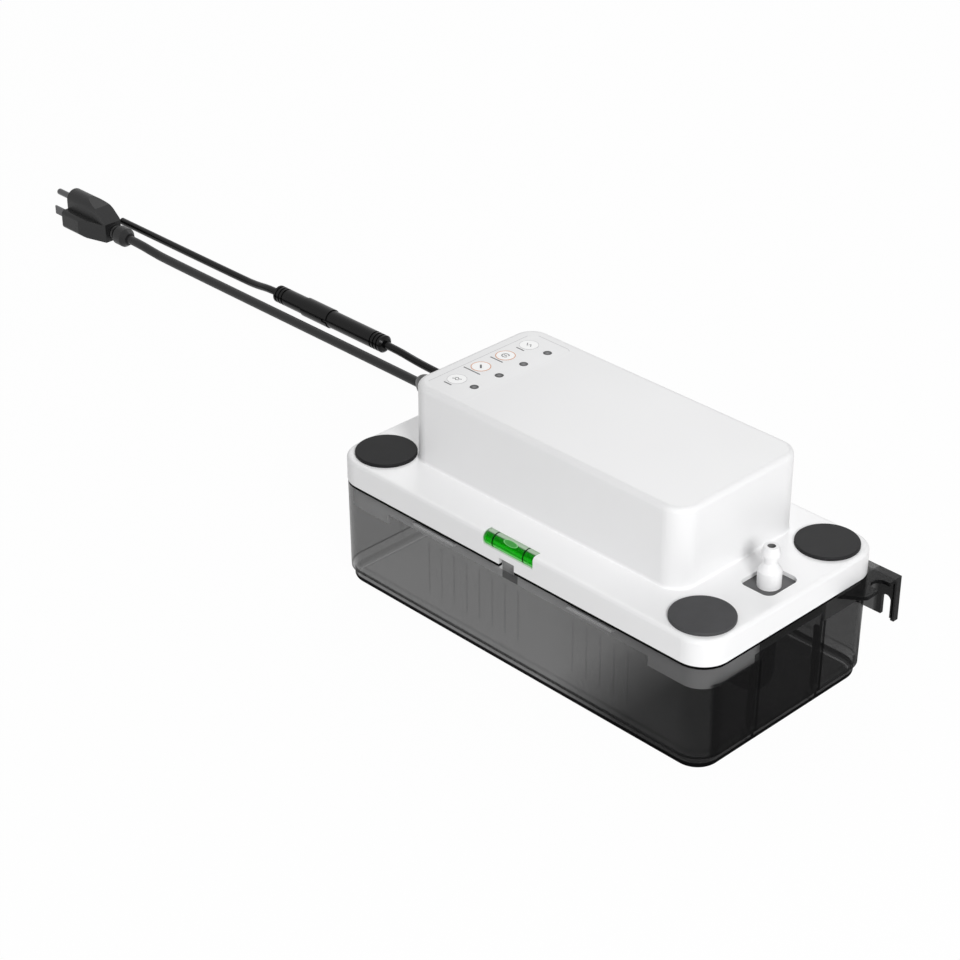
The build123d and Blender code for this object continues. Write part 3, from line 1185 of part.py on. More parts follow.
# ---------------------------------------------------------------- assembly
def build():
    """All named pieces of the pump."""
    tube, filling, rings = vial_parts()
    pieces = {
        "tank": tank(),
        "top_cover": top_cover(),
        "vial_tube": tube,
        "vial_liquid": filling,
        "vial_rings": rings,
        "panel_overlay": panel_overlay(),
        "status_leds": status_leds(),
        "control_board": control_board(),
        "board_relay": board_component(RELAY_AT, RELAY_SIZE),
        "board_transformer": board_component(TRANSFORMER_AT, TRANSFORMER_SIZE),
        "board_terminals": board_terminals(),
        "board_buzzer": board_buzzer(),
        "board_screws": board_screws(),
        "chassis": chassis(),
        "chassis_screws": chassis_screws(),
        "stator_core": stator_core(),
        "coil_bobbin": coil_bobbin(),
        "stator_coil": stator_coil(),
        "lower_bracket": bearing_bracket(STACK_Z, -1),
        "upper_bracket": bearing_bracket(STACK_TOP, 1),
        "lower_bearing": bearing(STACK_Z, -1),
        "upper_bearing": bearing(STACK_TOP, 1),
        "motor_bolts": motor_bolt_set(),
        "motor_shaft": motor_shaft(),
        "rotor_core": rotor_core(),
        "cooling_fan": cooling_fan(),
        "impeller": impeller(),
        "pump_column": pump_column(),
        "column_screws": column_screw_set(),
        "volute_plate": volute_plate(),
        "intake_strainer": intake_strainer(),
        "discharge_pipe": discharge_pipe(),
        "check_valve": check_valve(),
        "valve_seal": valve_seal(),
        "check_ball": Pos(OUTLET_X, OUTLET_Y, ball_rest_z()) * Sphere(BALL_R),
        "float_stem": float_stem(FLOAT_X, FLOAT_Y, FLOAT_REST_Z),
        "float_clip": float_clip(FLOAT_X, FLOAT_Y, FLOAT_REST_Z),
        "run_float": float_body(FLOAT_X, FLOAT_Y, FLOAT_REST_Z, FLOAT_R, FLOAT_H),
        "run_magnet": float_magnet(FLOAT_X, FLOAT_Y, FLOAT_REST_Z, FLOAT_H),
        "alarm_stem": float_stem(ALARM_X, ALARM_Y, ALARM_REST_Z),
        "alarm_clip": float_clip(ALARM_X, ALARM_Y, ALARM_REST_Z),
        "alarm_float": float_body(ALARM_X, ALARM_Y, ALARM_REST_Z, ALARM_R, ALARM_H),
        "alarm_magnet": float_magnet(ALARM_X, ALARM_Y, ALARM_REST_Z, ALARM_H),
        "reed_switches": reed_switches(),
        "power_relief": strain_relief(POWER_Y, POWER_CORD_R, POWER_RELIEF_R, POWER_RELIEF_LENGTH),
        "signal_relief": strain_relief(SIGNAL_Y, SIGNAL_CORD_R, SIGNAL_RELIEF_R, SIGNAL_RELIEF_LENGTH),
        "power_cord": cord("power cord", POWER_ROUTE, POWER_CORD_R),
        "plug_body": plug_body(),
        "plug_blades": plug_blades(),
        "ground_pin": ground_pin(),
        "signal_lead": cord("signal lead", SIGNAL_ROUTE, SIGNAL_CORD_R),
        "connector_socket": connector_half(CONNECTOR_X[0], COLLAR_X[0], -1),
        "connector_plug": connector_half(CONNECTOR_X[1], COLLAR_X[0], 1),
        "connector_collar": connector_collar(),
        "signal_extension": cord("signal extension", EXTENSION_ROUTE, SIGNAL_CORD_R),
    }
    lenses = Part()
    for y in LED_Y:
        lenses += status_lens(y)
    pieces["status_lenses"] = lenses
    for name, (x, y) in INLETS.items():
        pieces["inlet_plug_" + name] = inlet_plug(x, y)
    return pieces


for node, shape in build().items():
    export_step(shape, f"parts/{node}.step")
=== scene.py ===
import json
import math

import bmesh
import bpy
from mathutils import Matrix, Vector


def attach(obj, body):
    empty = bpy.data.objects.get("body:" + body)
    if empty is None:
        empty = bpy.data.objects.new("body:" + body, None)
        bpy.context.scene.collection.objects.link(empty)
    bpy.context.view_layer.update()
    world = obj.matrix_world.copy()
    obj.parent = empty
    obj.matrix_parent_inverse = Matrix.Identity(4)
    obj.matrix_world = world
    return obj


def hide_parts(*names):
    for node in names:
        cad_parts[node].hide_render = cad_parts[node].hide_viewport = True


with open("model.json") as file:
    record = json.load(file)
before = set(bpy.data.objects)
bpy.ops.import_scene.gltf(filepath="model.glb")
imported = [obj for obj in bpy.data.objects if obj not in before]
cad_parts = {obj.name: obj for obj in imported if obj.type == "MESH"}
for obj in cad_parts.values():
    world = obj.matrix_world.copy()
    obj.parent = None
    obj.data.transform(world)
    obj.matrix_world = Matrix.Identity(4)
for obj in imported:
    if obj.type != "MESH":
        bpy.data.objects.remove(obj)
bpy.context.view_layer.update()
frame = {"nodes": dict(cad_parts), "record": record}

# Looks of the condensate pump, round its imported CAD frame. Lengths below are in millimetres and
# go through M to metres, in the frame of the CAD: +X towards the discharge barb, +Z up.
M = 0.001
ROOT = "pump"


# ---------------------------------------------------------------- camera
CAMERA_AT = (0.7851, -0.8656, 0.7752)
CAMERA_TO = (-0.0862, -0.0083, 0.060)
CAMERA_LENS = 91.99

camera_data = bpy.data.cameras.new("view")
camera_data.lens = CAMERA_LENS
camera_data.sensor_width = 36.0
camera_data.clip_end = 60.0
camera = bpy.data.objects.new("view", camera_data)
bpy.context.scene.collection.objects.link(camera)
camera.location = CAMERA_AT
direction = Vector(CAMERA_TO) - Vector(CAMERA_AT)
camera.rotation_euler = direction.to_track_quat("-Z", "Y").to_euler()
bpy.context.scene.camera = camera
bpy.context.scene.view_settings.view_transform = "Standard"


# ---------------------------------------------------------------- node helpers
NODES_PER_ROW = 8
NODE_PITCH = (220, -320)
MIX_SHARE, MIX_FIRST, MIX_SECOND, MIX_RESULT = 0, 6, 7, 2      # sockets of a Mix node for colours
PLASTIC_IOR = 1.47
LEAST_ROUGHNESS = 0.02


def wire(tree, source, target):
    tree.links.new(source, target)


def node(tree, kind, **values):
    """New node; each value goes to the input of that name, or else to the node's own setting."""
    made = tree.nodes.new(kind)
    row, place = divmod(len(tree.nodes) - 1, NODES_PER_ROW)
    made.location = (place * NODE_PITCH[0], row * NODE_PITCH[1])
    for key, value in values.items():
        if key in made.inputs:
            made.inputs[key].default_value = value
        else:
            setattr(made, key, value)
    return made


def find(tree, kind):
    return next(n for n in tree.nodes if n.type == kind)


def new_tree(name):
    mat = bpy.data.materials.new(name)
    mat.use_nodes = True
    tree = mat.node_tree
    tree.nodes.clear()
    return mat, tree, node(tree, "ShaderNodeOutputMaterial")


def blend(tree, share, first, second):
    """Colour that goes from first to second with the share; each is a plain colour or a socket."""
    made = node(tree, "ShaderNodeMix", data_type="RGBA")
    wire(tree, share, made.inputs[MIX_SHARE])
    for value, target in ((first, made.inputs[MIX_FIRST]), (second, made.inputs[MIX_SECOND])):
        if isinstance(value, tuple):
            target.default_value = value
        else:
            wire(tree, value, target)
    return made.outputs[MIX_RESULT]


def blend_shaders(tree, share, first, second, target):
    made = node(tree, "ShaderNodeMixShader")
    for source, socket in zip((share, first, second), made.inputs):
        wire(tree, source, socket)
    wire(tree, made.outputs[0], target)


class Amount:
    """Number that varies over a surface: a node's output, with Math nodes for its arithmetic."""

    def __init__(self, tree, socket):
        self.tree = tree
        self.socket = socket

    def math(self, operation, other=0.0):
        made = node(self.tree, "ShaderNodeMath", operation=operation)
        wire(self.tree, self.socket, made.inputs[0])
        if isinstance(other, Amount):
            wire(self.tree, other.socket, made.inputs[1])
        else:
            made.inputs[1].default_value = other
        return Amount(self.tree, made.outputs["Value"])

    def __add__(self, other):
        return self.math("ADD", other)

    def __sub__(self, other):
        return self.math("SUBTRACT", other)

    def __mul__(self, other):
        return self.math("MULTIPLY", other)

    def __abs__(self):
        return self.math("ABSOLUTE")

    def root(self):
        return self.math("SQRT")

    def at_least(self, other):
        return self.math("MAXIMUM", other)

    def at_most(self, other):
        return self.math("MINIMUM", other)

    def ramp(self, low, high, bottom, top):
        """Goes from bottom to top while this amount goes from low to high."""
        made = node(self.tree, "ShaderNodeMapRange")
        for key, value in (("From Min", low), ("From Max", high), ("To Min", bottom), ("To Max", top)):
            made.inputs[key].default_value = value
        wire(self.tree, self.socket, made.inputs["Value"])
        return Amount(self.tree, made.outputs["Result"])

    def rises(self, edge, top=1.0, bottom=0.0):
        """Goes up from bottom to top across an edge, a pair of lengths in millimetres."""
        return self.ramp(edge[0] * M, edge[1] * M, bottom, top)

    def falls(self, edge, top=1.0, bottom=0.0):
        """Goes down from top to bottom across an edge, a pair of lengths in millimetres."""
        return self.ramp(edge[0] * M, edge[1] * M, top, bottom)


def surface_axes(tree):
    """X, Y and Z of the surface, in metres in the frame of the CAD."""
    axes = node(tree, "ShaderNodeSeparateXYZ")
    wire(tree, find(tree, "TEX_COORD").outputs["Object"], axes.inputs["Vector"])
    return [Amount(tree, axes.outputs[axis]) for axis in "XYZ"]


def distance(*sides):
    """Length of the line whose sides along X and Y these are."""
    first, second = [side * side for side in sides]
    return (first + second).root()


def scaled(color, amount):
    return tuple(max(0.0, min(1.0, c * amount)) for c in color) + (1.0,)


def finish_of(name, color, rough, grain=0.05, mottle=(60.0, 0.04), texture=(900.0, 0.15),
              stretch=(1, 1, 1), metallic=0.0, alpha=1.0, specular=0.5, sheen=0.0,
              rough_wobble=0.06):
    """Procedural finish: mottled colour, uneven gloss and a fine surface texture."""
    mat, tree, out = new_tree(name)
    bsdf = node(tree, "ShaderNodeBsdfPrincipled")
    bsdf.inputs["Metallic"].default_value = metallic
    bsdf.inputs["Alpha"].default_value = alpha
    bsdf.inputs["IOR"].default_value = PLASTIC_IOR
    bsdf.inputs["Specular IOR Level"].default_value = specular
    bsdf.inputs["Sheen Weight"].default_value = sheen
    where = node(tree, "ShaderNodeTexCoord")
    mapping = node(tree, "ShaderNodeMapping")
    mapping.inputs["Scale"].default_value = stretch
    wire(tree, where.outputs["Object"], mapping.inputs["Vector"])
    spots = node(tree, "ShaderNodeTexNoise", Scale=mottle[0], Detail=4.0)
    wire(tree, mapping.outputs["Vector"], spots.inputs["Vector"])
    tint = blend(tree, spots.outputs["Fac"], scaled(color, 1.0 - mottle[1]),
                 scaled(color, 1.0 + mottle[1]))
    wire(tree, tint, bsdf.inputs["Base Color"])
    gloss = node(tree, "ShaderNodeMapRange")
    gloss.inputs["To Min"].default_value = max(LEAST_ROUGHNESS, rough - rough_wobble)
    gloss.inputs["To Max"].default_value = min(1.0, rough + rough_wobble)
    wire(tree, spots.outputs["Fac"], gloss.inputs["Value"])
    wire(tree, gloss.outputs["Result"], bsdf.inputs["Roughness"])
    fine = node(tree, "ShaderNodeTexNoise", Scale=texture[0], Detail=3.0)
    wire(tree, mapping.outputs["Vector"], fine.inputs["Vector"])
    bump = node(tree, "ShaderNodeBump", Strength=texture[1], Distance=grain * M)
    wire(tree, fine.outputs["Fac"], bump.inputs["Height"])
    wire(tree, bump.outputs["Normal"], bsdf.inputs["Normal"])
    wire(tree, bsdf.outputs["BSDF"], out.inputs["Surface"])
    return mat


def base_color(tree):
    """Socket that brings the mottled colour to the shader, and the shader's own input."""
    target = find(tree, "BSDF_PRINCIPLED").inputs["Base Color"]
    return target.links[0].from_socket, target


# ---------------------------------------------------------------- cords
POWER_ROUTE = [
    (-130.3, 12.0, 94.0), (-142.5, 12.0, 94.0), (-155.5, 15.0, 91.0), (-167.0, 21.0, 83.5),
    (-175.0, 29.5, 72.0), (-179.5, 40.5, 57.0), (-183.0, 53.5, 41.0), (-187.5, 67.0, 26.5),
    (-194.0, 80.5, 15.0), (-202.5, 93.5, 7.0), (-213.0, 105.0, 3.3), (-229.0, 115.0, 3.3),
    (-252.0, 120.5, 3.3), (-300.0, 121.0, 3.3), (-545.0, 120.4, 3.3), (-559.0, 118.6, 5.5),
    (-572.0, 117.0, 8.0), (-585.0, 117.0, 8.0),
]
SIGNAL_ROUTE = [
    (-126.3, 34.0, 94.0), (-137.5, 34.0, 94.0), (-149.5, 37.0, 91.0), (-160.0, 43.5, 83.5),
    (-167.5, 52.5, 72.0), (-172.0, 64.0, 57.0), (-175.5, 77.5, 41.0), (-180.0, 91.5, 26.5),
    (-187.0, 105.0, 15.0), (-196.5, 117.5, 7.0), (-209.0, 128.0, 2.7), (-226.0, 136.0, 2.7),
    (-248.0, 140.2, 2.7), (-284.0, 140.6, 2.7), (-300.0, 139.6, 4.2), (-313.5, 138.0, 6.9),
    (-326.5, 138.0, 6.9),
]
EXTENSION_ROUTE = [
    (-440.0, 138.0, 6.9), (-450.0, 138.0, 6.9), (-465.0, 139.4, 3.9), (-482.0, 140.2, 2.7),
    (-625.0, 140.0, 2.7),
]
POWER_R = 3.3
SIGNAL_R = 2.7
CORD_ORDER = 3
CORD_STEPS = 16
CORD_ROUNDNESS = 7
CORD_BLACK = (0.014, 0.014, 0.0145)
SIGNAL_BLACK = (0.004, 0.004, 0.0042)

cord_finish = finish_of("cord_jacket", CORD_BLACK, 0.42, grain=0.04, mottle=(220.0, 0.16),
                        texture=(1500.0, 0.25), specular=0.32, sheen=0.02)
signal_finish = finish_of("signal_jacket", SIGNAL_BLACK, 0.27, grain=0.03, mottle=(220.0, 0.2),
                          texture=(1500.0, 0.2), specular=0.2)


def cord(name, route, radius, finish, stands_for):
    """Round flexible cord along a smooth line through the route's points."""
    data = bpy.data.curves.new(name, "CURVE")
    data.dimensions = "3D"
    line = data.splines.new("NURBS")
    line.points.add(len(route) - 1)
    for point, place in zip(line.points, route):
        point.co = (*(length * M for length in place), 1.0)
    line.order_u = CORD_ORDER
    line.use_endpoint_u = True
    line.resolution_u = CORD_STEPS
    data.bevel_depth = radius * M
    data.bevel_resolution = CORD_ROUNDNESS
    data.use_fill_caps = True
    data.materials.append(finish)
    piece = bpy.data.objects.new(name, data)
    bpy.context.scene.collection.objects.link(piece)
    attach(piece, ROOT)
    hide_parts(stands_for)
    return piece


power_line = cord("power_cord_line", POWER_ROUTE, POWER_R, cord_finish, "power_cord")
signal_line = cord("signal_lead_line", SIGNAL_ROUTE, SIGNAL_R, signal_finish, "signal_lead")
extension_line = cord("signal_extension_line", EXTENSION_ROUTE, SIGNAL_R, signal_finish,
                      "signal_extension")


# ---------------------------------------------------------------- smoky plastic of the tank
# Each pair is an edge in millimetres, across which a part of the finish comes in or goes out.
CORNER_X = 123.0
CORNER_Y = 54.85
# Outer skins: the wall leans out by WALL_LEAN over WALL_RISE, from its reach at the foot.
WALL_RISE = (8.0, 60.0)
WALL_LEAN = 1.0
WALL_REACH = (15.2, 15.4)
FOOT_REACH = (12.9, 13.1)
FOOT_TOP = (8.1, 8.3)
UNDERSIDE = (1.2, 1.4)
# How dense the plastic looks on the walls, from -X to +X, and on its other parts. The rise towards +X
# and the denser far walls are painted shade, which darkens the view into the tank.
WALL_DENSITY_AND_SHADE = (0.48, 0.62)
WALL_SPAN = (30.0, 100.0)
FAR_WALL_SHADE_DENSITY = 0.72
LEFT_END = (-137.4, -129.0)
LEFT_DENSITY = 0.3
BACK_WALL = (67.5, 69.0)
INNER_DENSITY = 0.055
FLUTE_DENSITY = 0.042
FLUTE_FACE = (-66.5, -65.5)
HANGER_DENSITY = 0.68
HANGER_FROM = (139.4, 140.4)
# Blind grooves of the snap beads, where the long walls are thinner.
SNAP_X = 59.3
SNAP_Z = 61.8
SNAP_HALF_LENGTH = (16.0, 16.6)
SNAP_HALF_HEIGHT = (0.5, 0.9)
SNAP_FACE = (68.0, 69.0)
SNAP_CLEARNESS = 0.65
# Nearly black parts: slanting skins, rim, foot edge, step over the foot, ribs, end wall, corner. The
# black of the rim line, foot band, step and end wall is painted shade.
BLACK = (0.004, 0.004, 0.0042, 1)
SLANT = (0.62, 0.95)
SLANT_DARKNESS = 0.95
SLANT_BLEND = 0.3
RIM_LINE = (64.5, 64.8)
RIM_REACH = (16.9, 17.1)
LOW_BAND = (3.6, 4.2)
LOW_DARKNESS = 0.97
LOW_REACH = (12.2, 12.4)
LOW_START = (-135.0, -133.0)
LOW_START_SHARE = 0.2
GROUND_EDGE = (0.7, 1.2)
GROUND_EDGE_SHARE = 0.75
STEP_LOW = (7.9, 8.05)
STEP_HIGH = (8.3, 8.6)
STEP_DARKNESS = 0.6
RIB_Y = 26.5
RIB_HALF_WIDTH = (0.9, 1.3)
RIB_DARKNESS = 0.92
RIB_FROM = (130.0, 131.0)
RIB_TOP = (53.5, 54.5)
END_WALL = (137.0, 138.2)
END_DARKNESS = 0.74
END_BACK = (25.5, 27.0)
END_BACK_SHARE = 0.7
LIP_BAND = (54.5, 55.0)
LIP_END = (-28.6, -28.2)
LIP_CLEARNESS = 0.8
CORNER_SIDE = (58.0, 61.0)
CORNER_FROM = (131.0, 132.0)
CORNER_REACH = (16.2, 16.4)
CORNER_DARKNESS = 0.85


def corner_reach(x, y):
    """Distance from the rectangle that joins the deck's corner centres, in the plane of X and Y."""
    over = [(abs(size) - half * M).at_least(0.0) for size, half in ((x, CORNER_X), (y, CORNER_Y))]
    return distance(*over)


def outer_skins(x, y, z):
    """1 on the wall's outer skin, and 1 on every outer skin of the tank."""
    reach = corner_reach(x, y)
    leaning = reach - z.rises(WALL_RISE, top=WALL_LEAN * M)
    wall_skin = leaning.rises(WALL_REACH)
    foot_skin = reach.rises(FOOT_REACH) * z.falls(FOOT_TOP)
    return wall_skin, wall_skin.at_least(foot_skin.at_least(z.falls(UNDERSIDE)))


def smoky_density_and_shade(x, y, z, outer):
    """How little light the plastic lets through; denser towards +X and on the far walls as painted shade
    of the tank's inside.
    """
    # painted shade: the walls grow denser towards +X, and on the -X end and the back
    wall = x.rises(WALL_SPAN, bottom=WALL_DENSITY_AND_SHADE[0], top=WALL_DENSITY_AND_SHADE[1])
    left = x.falls(LEFT_END, top=FAR_WALL_SHADE_DENSITY, bottom=LEFT_DENSITY)
    wall = wall.at_least(left.at_least(y.rises(BACK_WALL, top=FAR_WALL_SHADE_DENSITY)))
    groove = (abs(abs(x) - SNAP_X * M).falls(SNAP_HALF_LENGTH)
              * abs(z - SNAP_Z * M).falls(SNAP_HALF_HEIGHT) * abs(y).rises(SNAP_FACE))
    wall = wall * groove.ramp(0.0, 1.0, 1.0, 1.0 - SNAP_CLEARNESS) * outer
    dense = wall.at_least(abs(x).rises(HANGER_FROM) * HANGER_DENSITY)
    return dense.at_least(y.rises(FLUTE_FACE, bottom=FLUTE_DENSITY, top=INNER_DENSITY))


def smoky_darkness_and_shade(x, y, z, wall_skin, outer):
    """How black the plastic's rim, foot edge, ribs, end wall and slanting skins are; on the rim line,
    foot band, step and end wall this is painted shade.
    """
    tree = x.tree
    reach = corner_reach(x, y)
    slant = Amount(tree, node(tree, "ShaderNodeLayerWeight", Blend=SLANT_BLEND).outputs["Facing"])
    # painted shade: a dark line just under the cover, a dark band along the foot and a dark step over it
    rim = z.rises(RIM_LINE) * reach.falls(RIM_REACH)
    low = (z.falls(LOW_BAND, top=LOW_DARKNESS) * reach.rises(LOW_REACH)
           * x.rises(LOW_START, bottom=LOW_START_SHARE) * z.rises(GROUND_EDGE, bottom=GROUND_EDGE_SHARE))
    step = z.rises(STEP_LOW, top=STEP_DARKNESS) * z.falls(STEP_HIGH) * wall_skin
    rib = (abs(abs(y) - RIB_Y * M).falls(RIB_HALF_WIDTH, top=RIB_DARKNESS) * x.rises(RIB_FROM)
           * z.falls(RIB_TOP))
    # painted shade over the end wall for the dark inside seen through it, lighter on the lip band
    end = x.rises(END_WALL, top=END_DARKNESS) * wall_skin * y.falls(END_BACK, bottom=END_BACK_SHARE)
    end = end - z.rises(LIP_BAND, top=LIP_CLEARNESS) * y.falls(LIP_END)
    corner = (y.rises(CORNER_SIDE, top=CORNER_DARKNESS) * x.rises(CORNER_FROM) * outer
              * reach.falls(CORNER_REACH))
    dark = slant.ramp(*SLANT, 0.0, SLANT_DARKNESS) * outer
    for extra in (rim, low, step, rib, end, corner):
        dark = dark.at_least(extra)
    return dark


def smoky_finish():
    """See-through smoky plastic; its rim, foot edge, end ribs and slanting skins are nearly black, with
    painted shade on the rim line, foot band, step and end wall.
    """
    mat = finish_of("smoky_shell", (0.006, 0.006, 0.0063), 0.14, grain=0.02, mottle=(35.0, 0.12),
                    texture=(260.0, 0.04), specular=0.12, rough_wobble=0.03)
    tree = mat.node_tree
    bsdf = find(tree, "BSDF_PRINCIPLED")
    axes = surface_axes(tree)
    wall_skin, outer = outer_skins(*axes)
    wire(tree, smoky_density_and_shade(*axes, outer).socket, bsdf.inputs["Alpha"])
    black = node(tree, "ShaderNodeBsdfDiffuse", Color=BLACK)
    blend_shaders(tree, smoky_darkness_and_shade(*axes, wall_skin, outer).socket, bsdf.outputs["BSDF"],
                  black.outputs["BSDF"], find(tree, "OUTPUT_MATERIAL").inputs["Surface"])
    return mat


# ---------------------------------------------------------------- other finishes of the CAD nodes
VIAL_Y = -67.05
VIAL_Z = 77.2
VIAL_HALF = 4.2
# painted reflections: the vial's bands are painted light and shade
VIAL_PAINTED_LIGHT_AXIS = (0.36, 0.86)      # direction in Y and Z along which the vial's bands follow each other
GREEN_PALE = (0.60, 0.72, 0.58)
GREEN_EDGE = (0.03, 0.13, 0.03)
GREEN_MID = (0.008, 0.25, 0.010)
GREEN_DEEP = (0.0, 0.19, 0.0)
GREEN_PAINTED_LIT = (0.005, 0.48, 0.005)
GREEN_PAINTED_STREAK = (0.10, 0.85, 0.10)
VIAL_PAINTED_BANDS = [
    (0.00, GREEN_PALE), (0.08, GREEN_MID), (0.17, GREEN_PAINTED_STREAK), (0.23, GREEN_PAINTED_LIT),
    (0.28, GREEN_DEEP), (0.44, GREEN_PAINTED_LIT), (0.60, GREEN_DEEP), (0.78, GREEN_MID),
    (0.83, GREEN_EDGE), (0.90, GREEN_PALE),
]


def vial_finish(name, alpha, painted_glow):
    """Green acrylic with painted long light and dark reflections of a round rod, lit by a painted
    emission.
    """
    mat = finish_of(name, (0.02, 0.4, 0.015), 0.10, alpha=alpha, specular=0.06,
                    texture=(150.0, 0.03))
    tree = mat.node_tree
    bsdf = find(tree, "BSDF_PRINCIPLED")
    _, y, z = surface_axes(tree)
    height = (z - VIAL_Z * M) * VIAL_PAINTED_LIGHT_AXIS[1] + (y - VIAL_Y * M) * VIAL_PAINTED_LIGHT_AXIS[0]
    bands = node(tree, "ShaderNodeValToRGB")
    stops = bands.color_ramp.elements
    for i, (place, color) in enumerate(VIAL_PAINTED_BANDS):
        stop = stops[i] if i < 2 else stops.new(place)
        stop.position = place
        stop.color = (*color, 1.0)
    wire(tree, height.rises((-VIAL_HALF, VIAL_HALF)).socket, bands.inputs["Fac"])
    wire(tree, bands.outputs["Color"], bsdf.inputs["Base Color"])
    # painted emission: the same bands light the vial up
    wire(tree, bands.outputs["Color"], bsdf.inputs["Emission Color"])
    bsdf.inputs["Emission Strength"].default_value = painted_glow
    return mat


LENS_X = -75.0
LENS_YS = (-23.8, -4.2, 15.3, 34.7)
LENS_MIDDLE = (0.5, 1.9)
LENS_PAINTED_HIGHLIGHT = (0.17, 0.17, 0.175, 1.0)


def lens_finish():
    """Smoked lens that is dark round its rim, with a painted highlight over its middle."""
    mat = finish_of("smoked_lens", (0.022, 0.022, 0.024), 0.3, mottle=(700.0, 0.9),
                    specular=0.15, texture=(700.0, 0.5))
    tree = mat.node_tree
    x, y, _ = surface_axes(tree)
    from_lens = [abs(y - lens_y * M) for lens_y in LENS_YS]
    nearest = from_lens[0]
    for other in from_lens[1:]:
        nearest = nearest.at_most(other)
    # painted highlight, lighter round the middle of each lens
    middle = distance(x - LENS_X * M, nearest).falls(LENS_MIDDLE)
    color, target = base_color(tree)
    wire(tree, blend(tree, middle.socket, color, LENS_PAINTED_HIGHLIGHT), target)
    return mat


def layered_finish(name, color, rough, metallic, mottle, pitch, direction, depth, strength):
    """Finish with the fine even ridges of stacked sheets or wound wire."""
    mat = finish_of(name, color, rough, metallic=metallic, mottle=mottle)
    tree = mat.node_tree
    bump = find(tree, "BUMP")
    ridges = node(tree, "ShaderNodeTexWave", Scale=pitch, bands_direction=direction)
    wire(tree, find(tree, "TEX_COORD").outputs["Object"], ridges.inputs["Vector"])
    wire(tree, ridges.outputs["Fac"], bump.inputs["Height"])
    bump.inputs["Distance"].default_value = depth * M
    bump.inputs["Strength"].default_value = strength
    return mat


TRACE_GREEN = (0.03, 0.24, 0.08, 1)


def board_finish():
    """Circuit board: green mask over paler traces."""
    mat = finish_of("circuit_board", (0.012, 0.13, 0.045), 0.35, mottle=(30.0, 0.1), specular=0.5)
    tree = mat.node_tree
    traces = node(tree, "ShaderNodeTexBrick", Scale=60.0)
    traces.inputs["Color1"].default_value = (0, 0, 0, 1)
    traces.inputs["Color2"].default_value = (0.1, 0.1, 0.1, 1)
    traces.inputs["Mortar"].default_value = (1, 1, 1, 1)
    traces.inputs["Mortar Size"].default_value = 0.03
    wire(tree, find(tree, "TEX_COORD").outputs["Object"], traces.inputs["Vector"])
    color, target = base_color(tree)
    wire(tree, blend(tree, traces.outputs["Color"], color, TRACE_GREEN), target)
    return mat


VALVE_AT = (121.0, 0.0)
BORE_R = (2.5, 2.8)
BORE_TOP = (103.3, 103.5)
BORE_PAINTED_SHADE = 0.85
PRY_X = -1.5
PRY_HALF_WIDTH = (5.5, 6.0)
PRY_TOP = (69.9, 70.3)
PRY_FRONT = (-71.7, -71.5)
PRY_BACK = (-66.0, -65.0)
PRY_PAINTED_SHADE = 0.75
DECK_LOW = (81.0, 81.9)
DECK_HIGH = (82.3, 84.5)
DECK_FADE = (60.0, 120.0)
DECK_FADE_SHARE = 0.3
DECK_PAINTED_LIGHT = (0.96, 0.96, 0.965, 1)
PAINTED_HOLLOW_SHADE = (0.05, 0.05, 0.05, 1)


def white_finish():
    """White moulding: painted light on top of the deck, and painted shade in the barb's bore and the pry
    notch.
    """
    mat = finish_of("white_shell", (0.83, 0.83, 0.835), 0.36, grain=0.03, mottle=(14.0, 0.012),
                    texture=(1300.0, 0.12), specular=0.45)
    tree = mat.node_tree
    x, y, z = surface_axes(tree)
    from_axis = distance(x - VALVE_AT[0] * M, y - VALVE_AT[1] * M)
    # painted shade inside the barb's bore and in the pry notch
    bore = from_axis.falls(BORE_R, top=BORE_PAINTED_SHADE) * z.falls(BORE_TOP)
    notch = (abs(x - PRY_X * M).falls(PRY_HALF_WIDTH, top=PRY_PAINTED_SHADE) * z.falls(PRY_TOP)
             * y.rises(PRY_FRONT) * y.falls(PRY_BACK))
    # painted light: the top face of the deck is made lighter, less so towards +X
    deck = (z.rises(DECK_LOW) * z.falls(DECK_HIGH)
            * x.falls(DECK_FADE, bottom=DECK_FADE_SHARE))
    color, target = base_color(tree)
    deck_lit_color = blend(tree, deck.socket, color, DECK_PAINTED_LIGHT)
    wire(tree, blend(tree, bore.at_least(notch).socket, deck_lit_color, PAINTED_HOLLOW_SHADE), target)
    return mat


def rubber_finish(name, tone):
    return finish_of(name, (tone, tone, tone * 1.04), 0.5, grain=0.05, specular=0.08,
                     mottle=(120.0, 0.12), texture=(1600.0, 0.35), sheen=0.01)


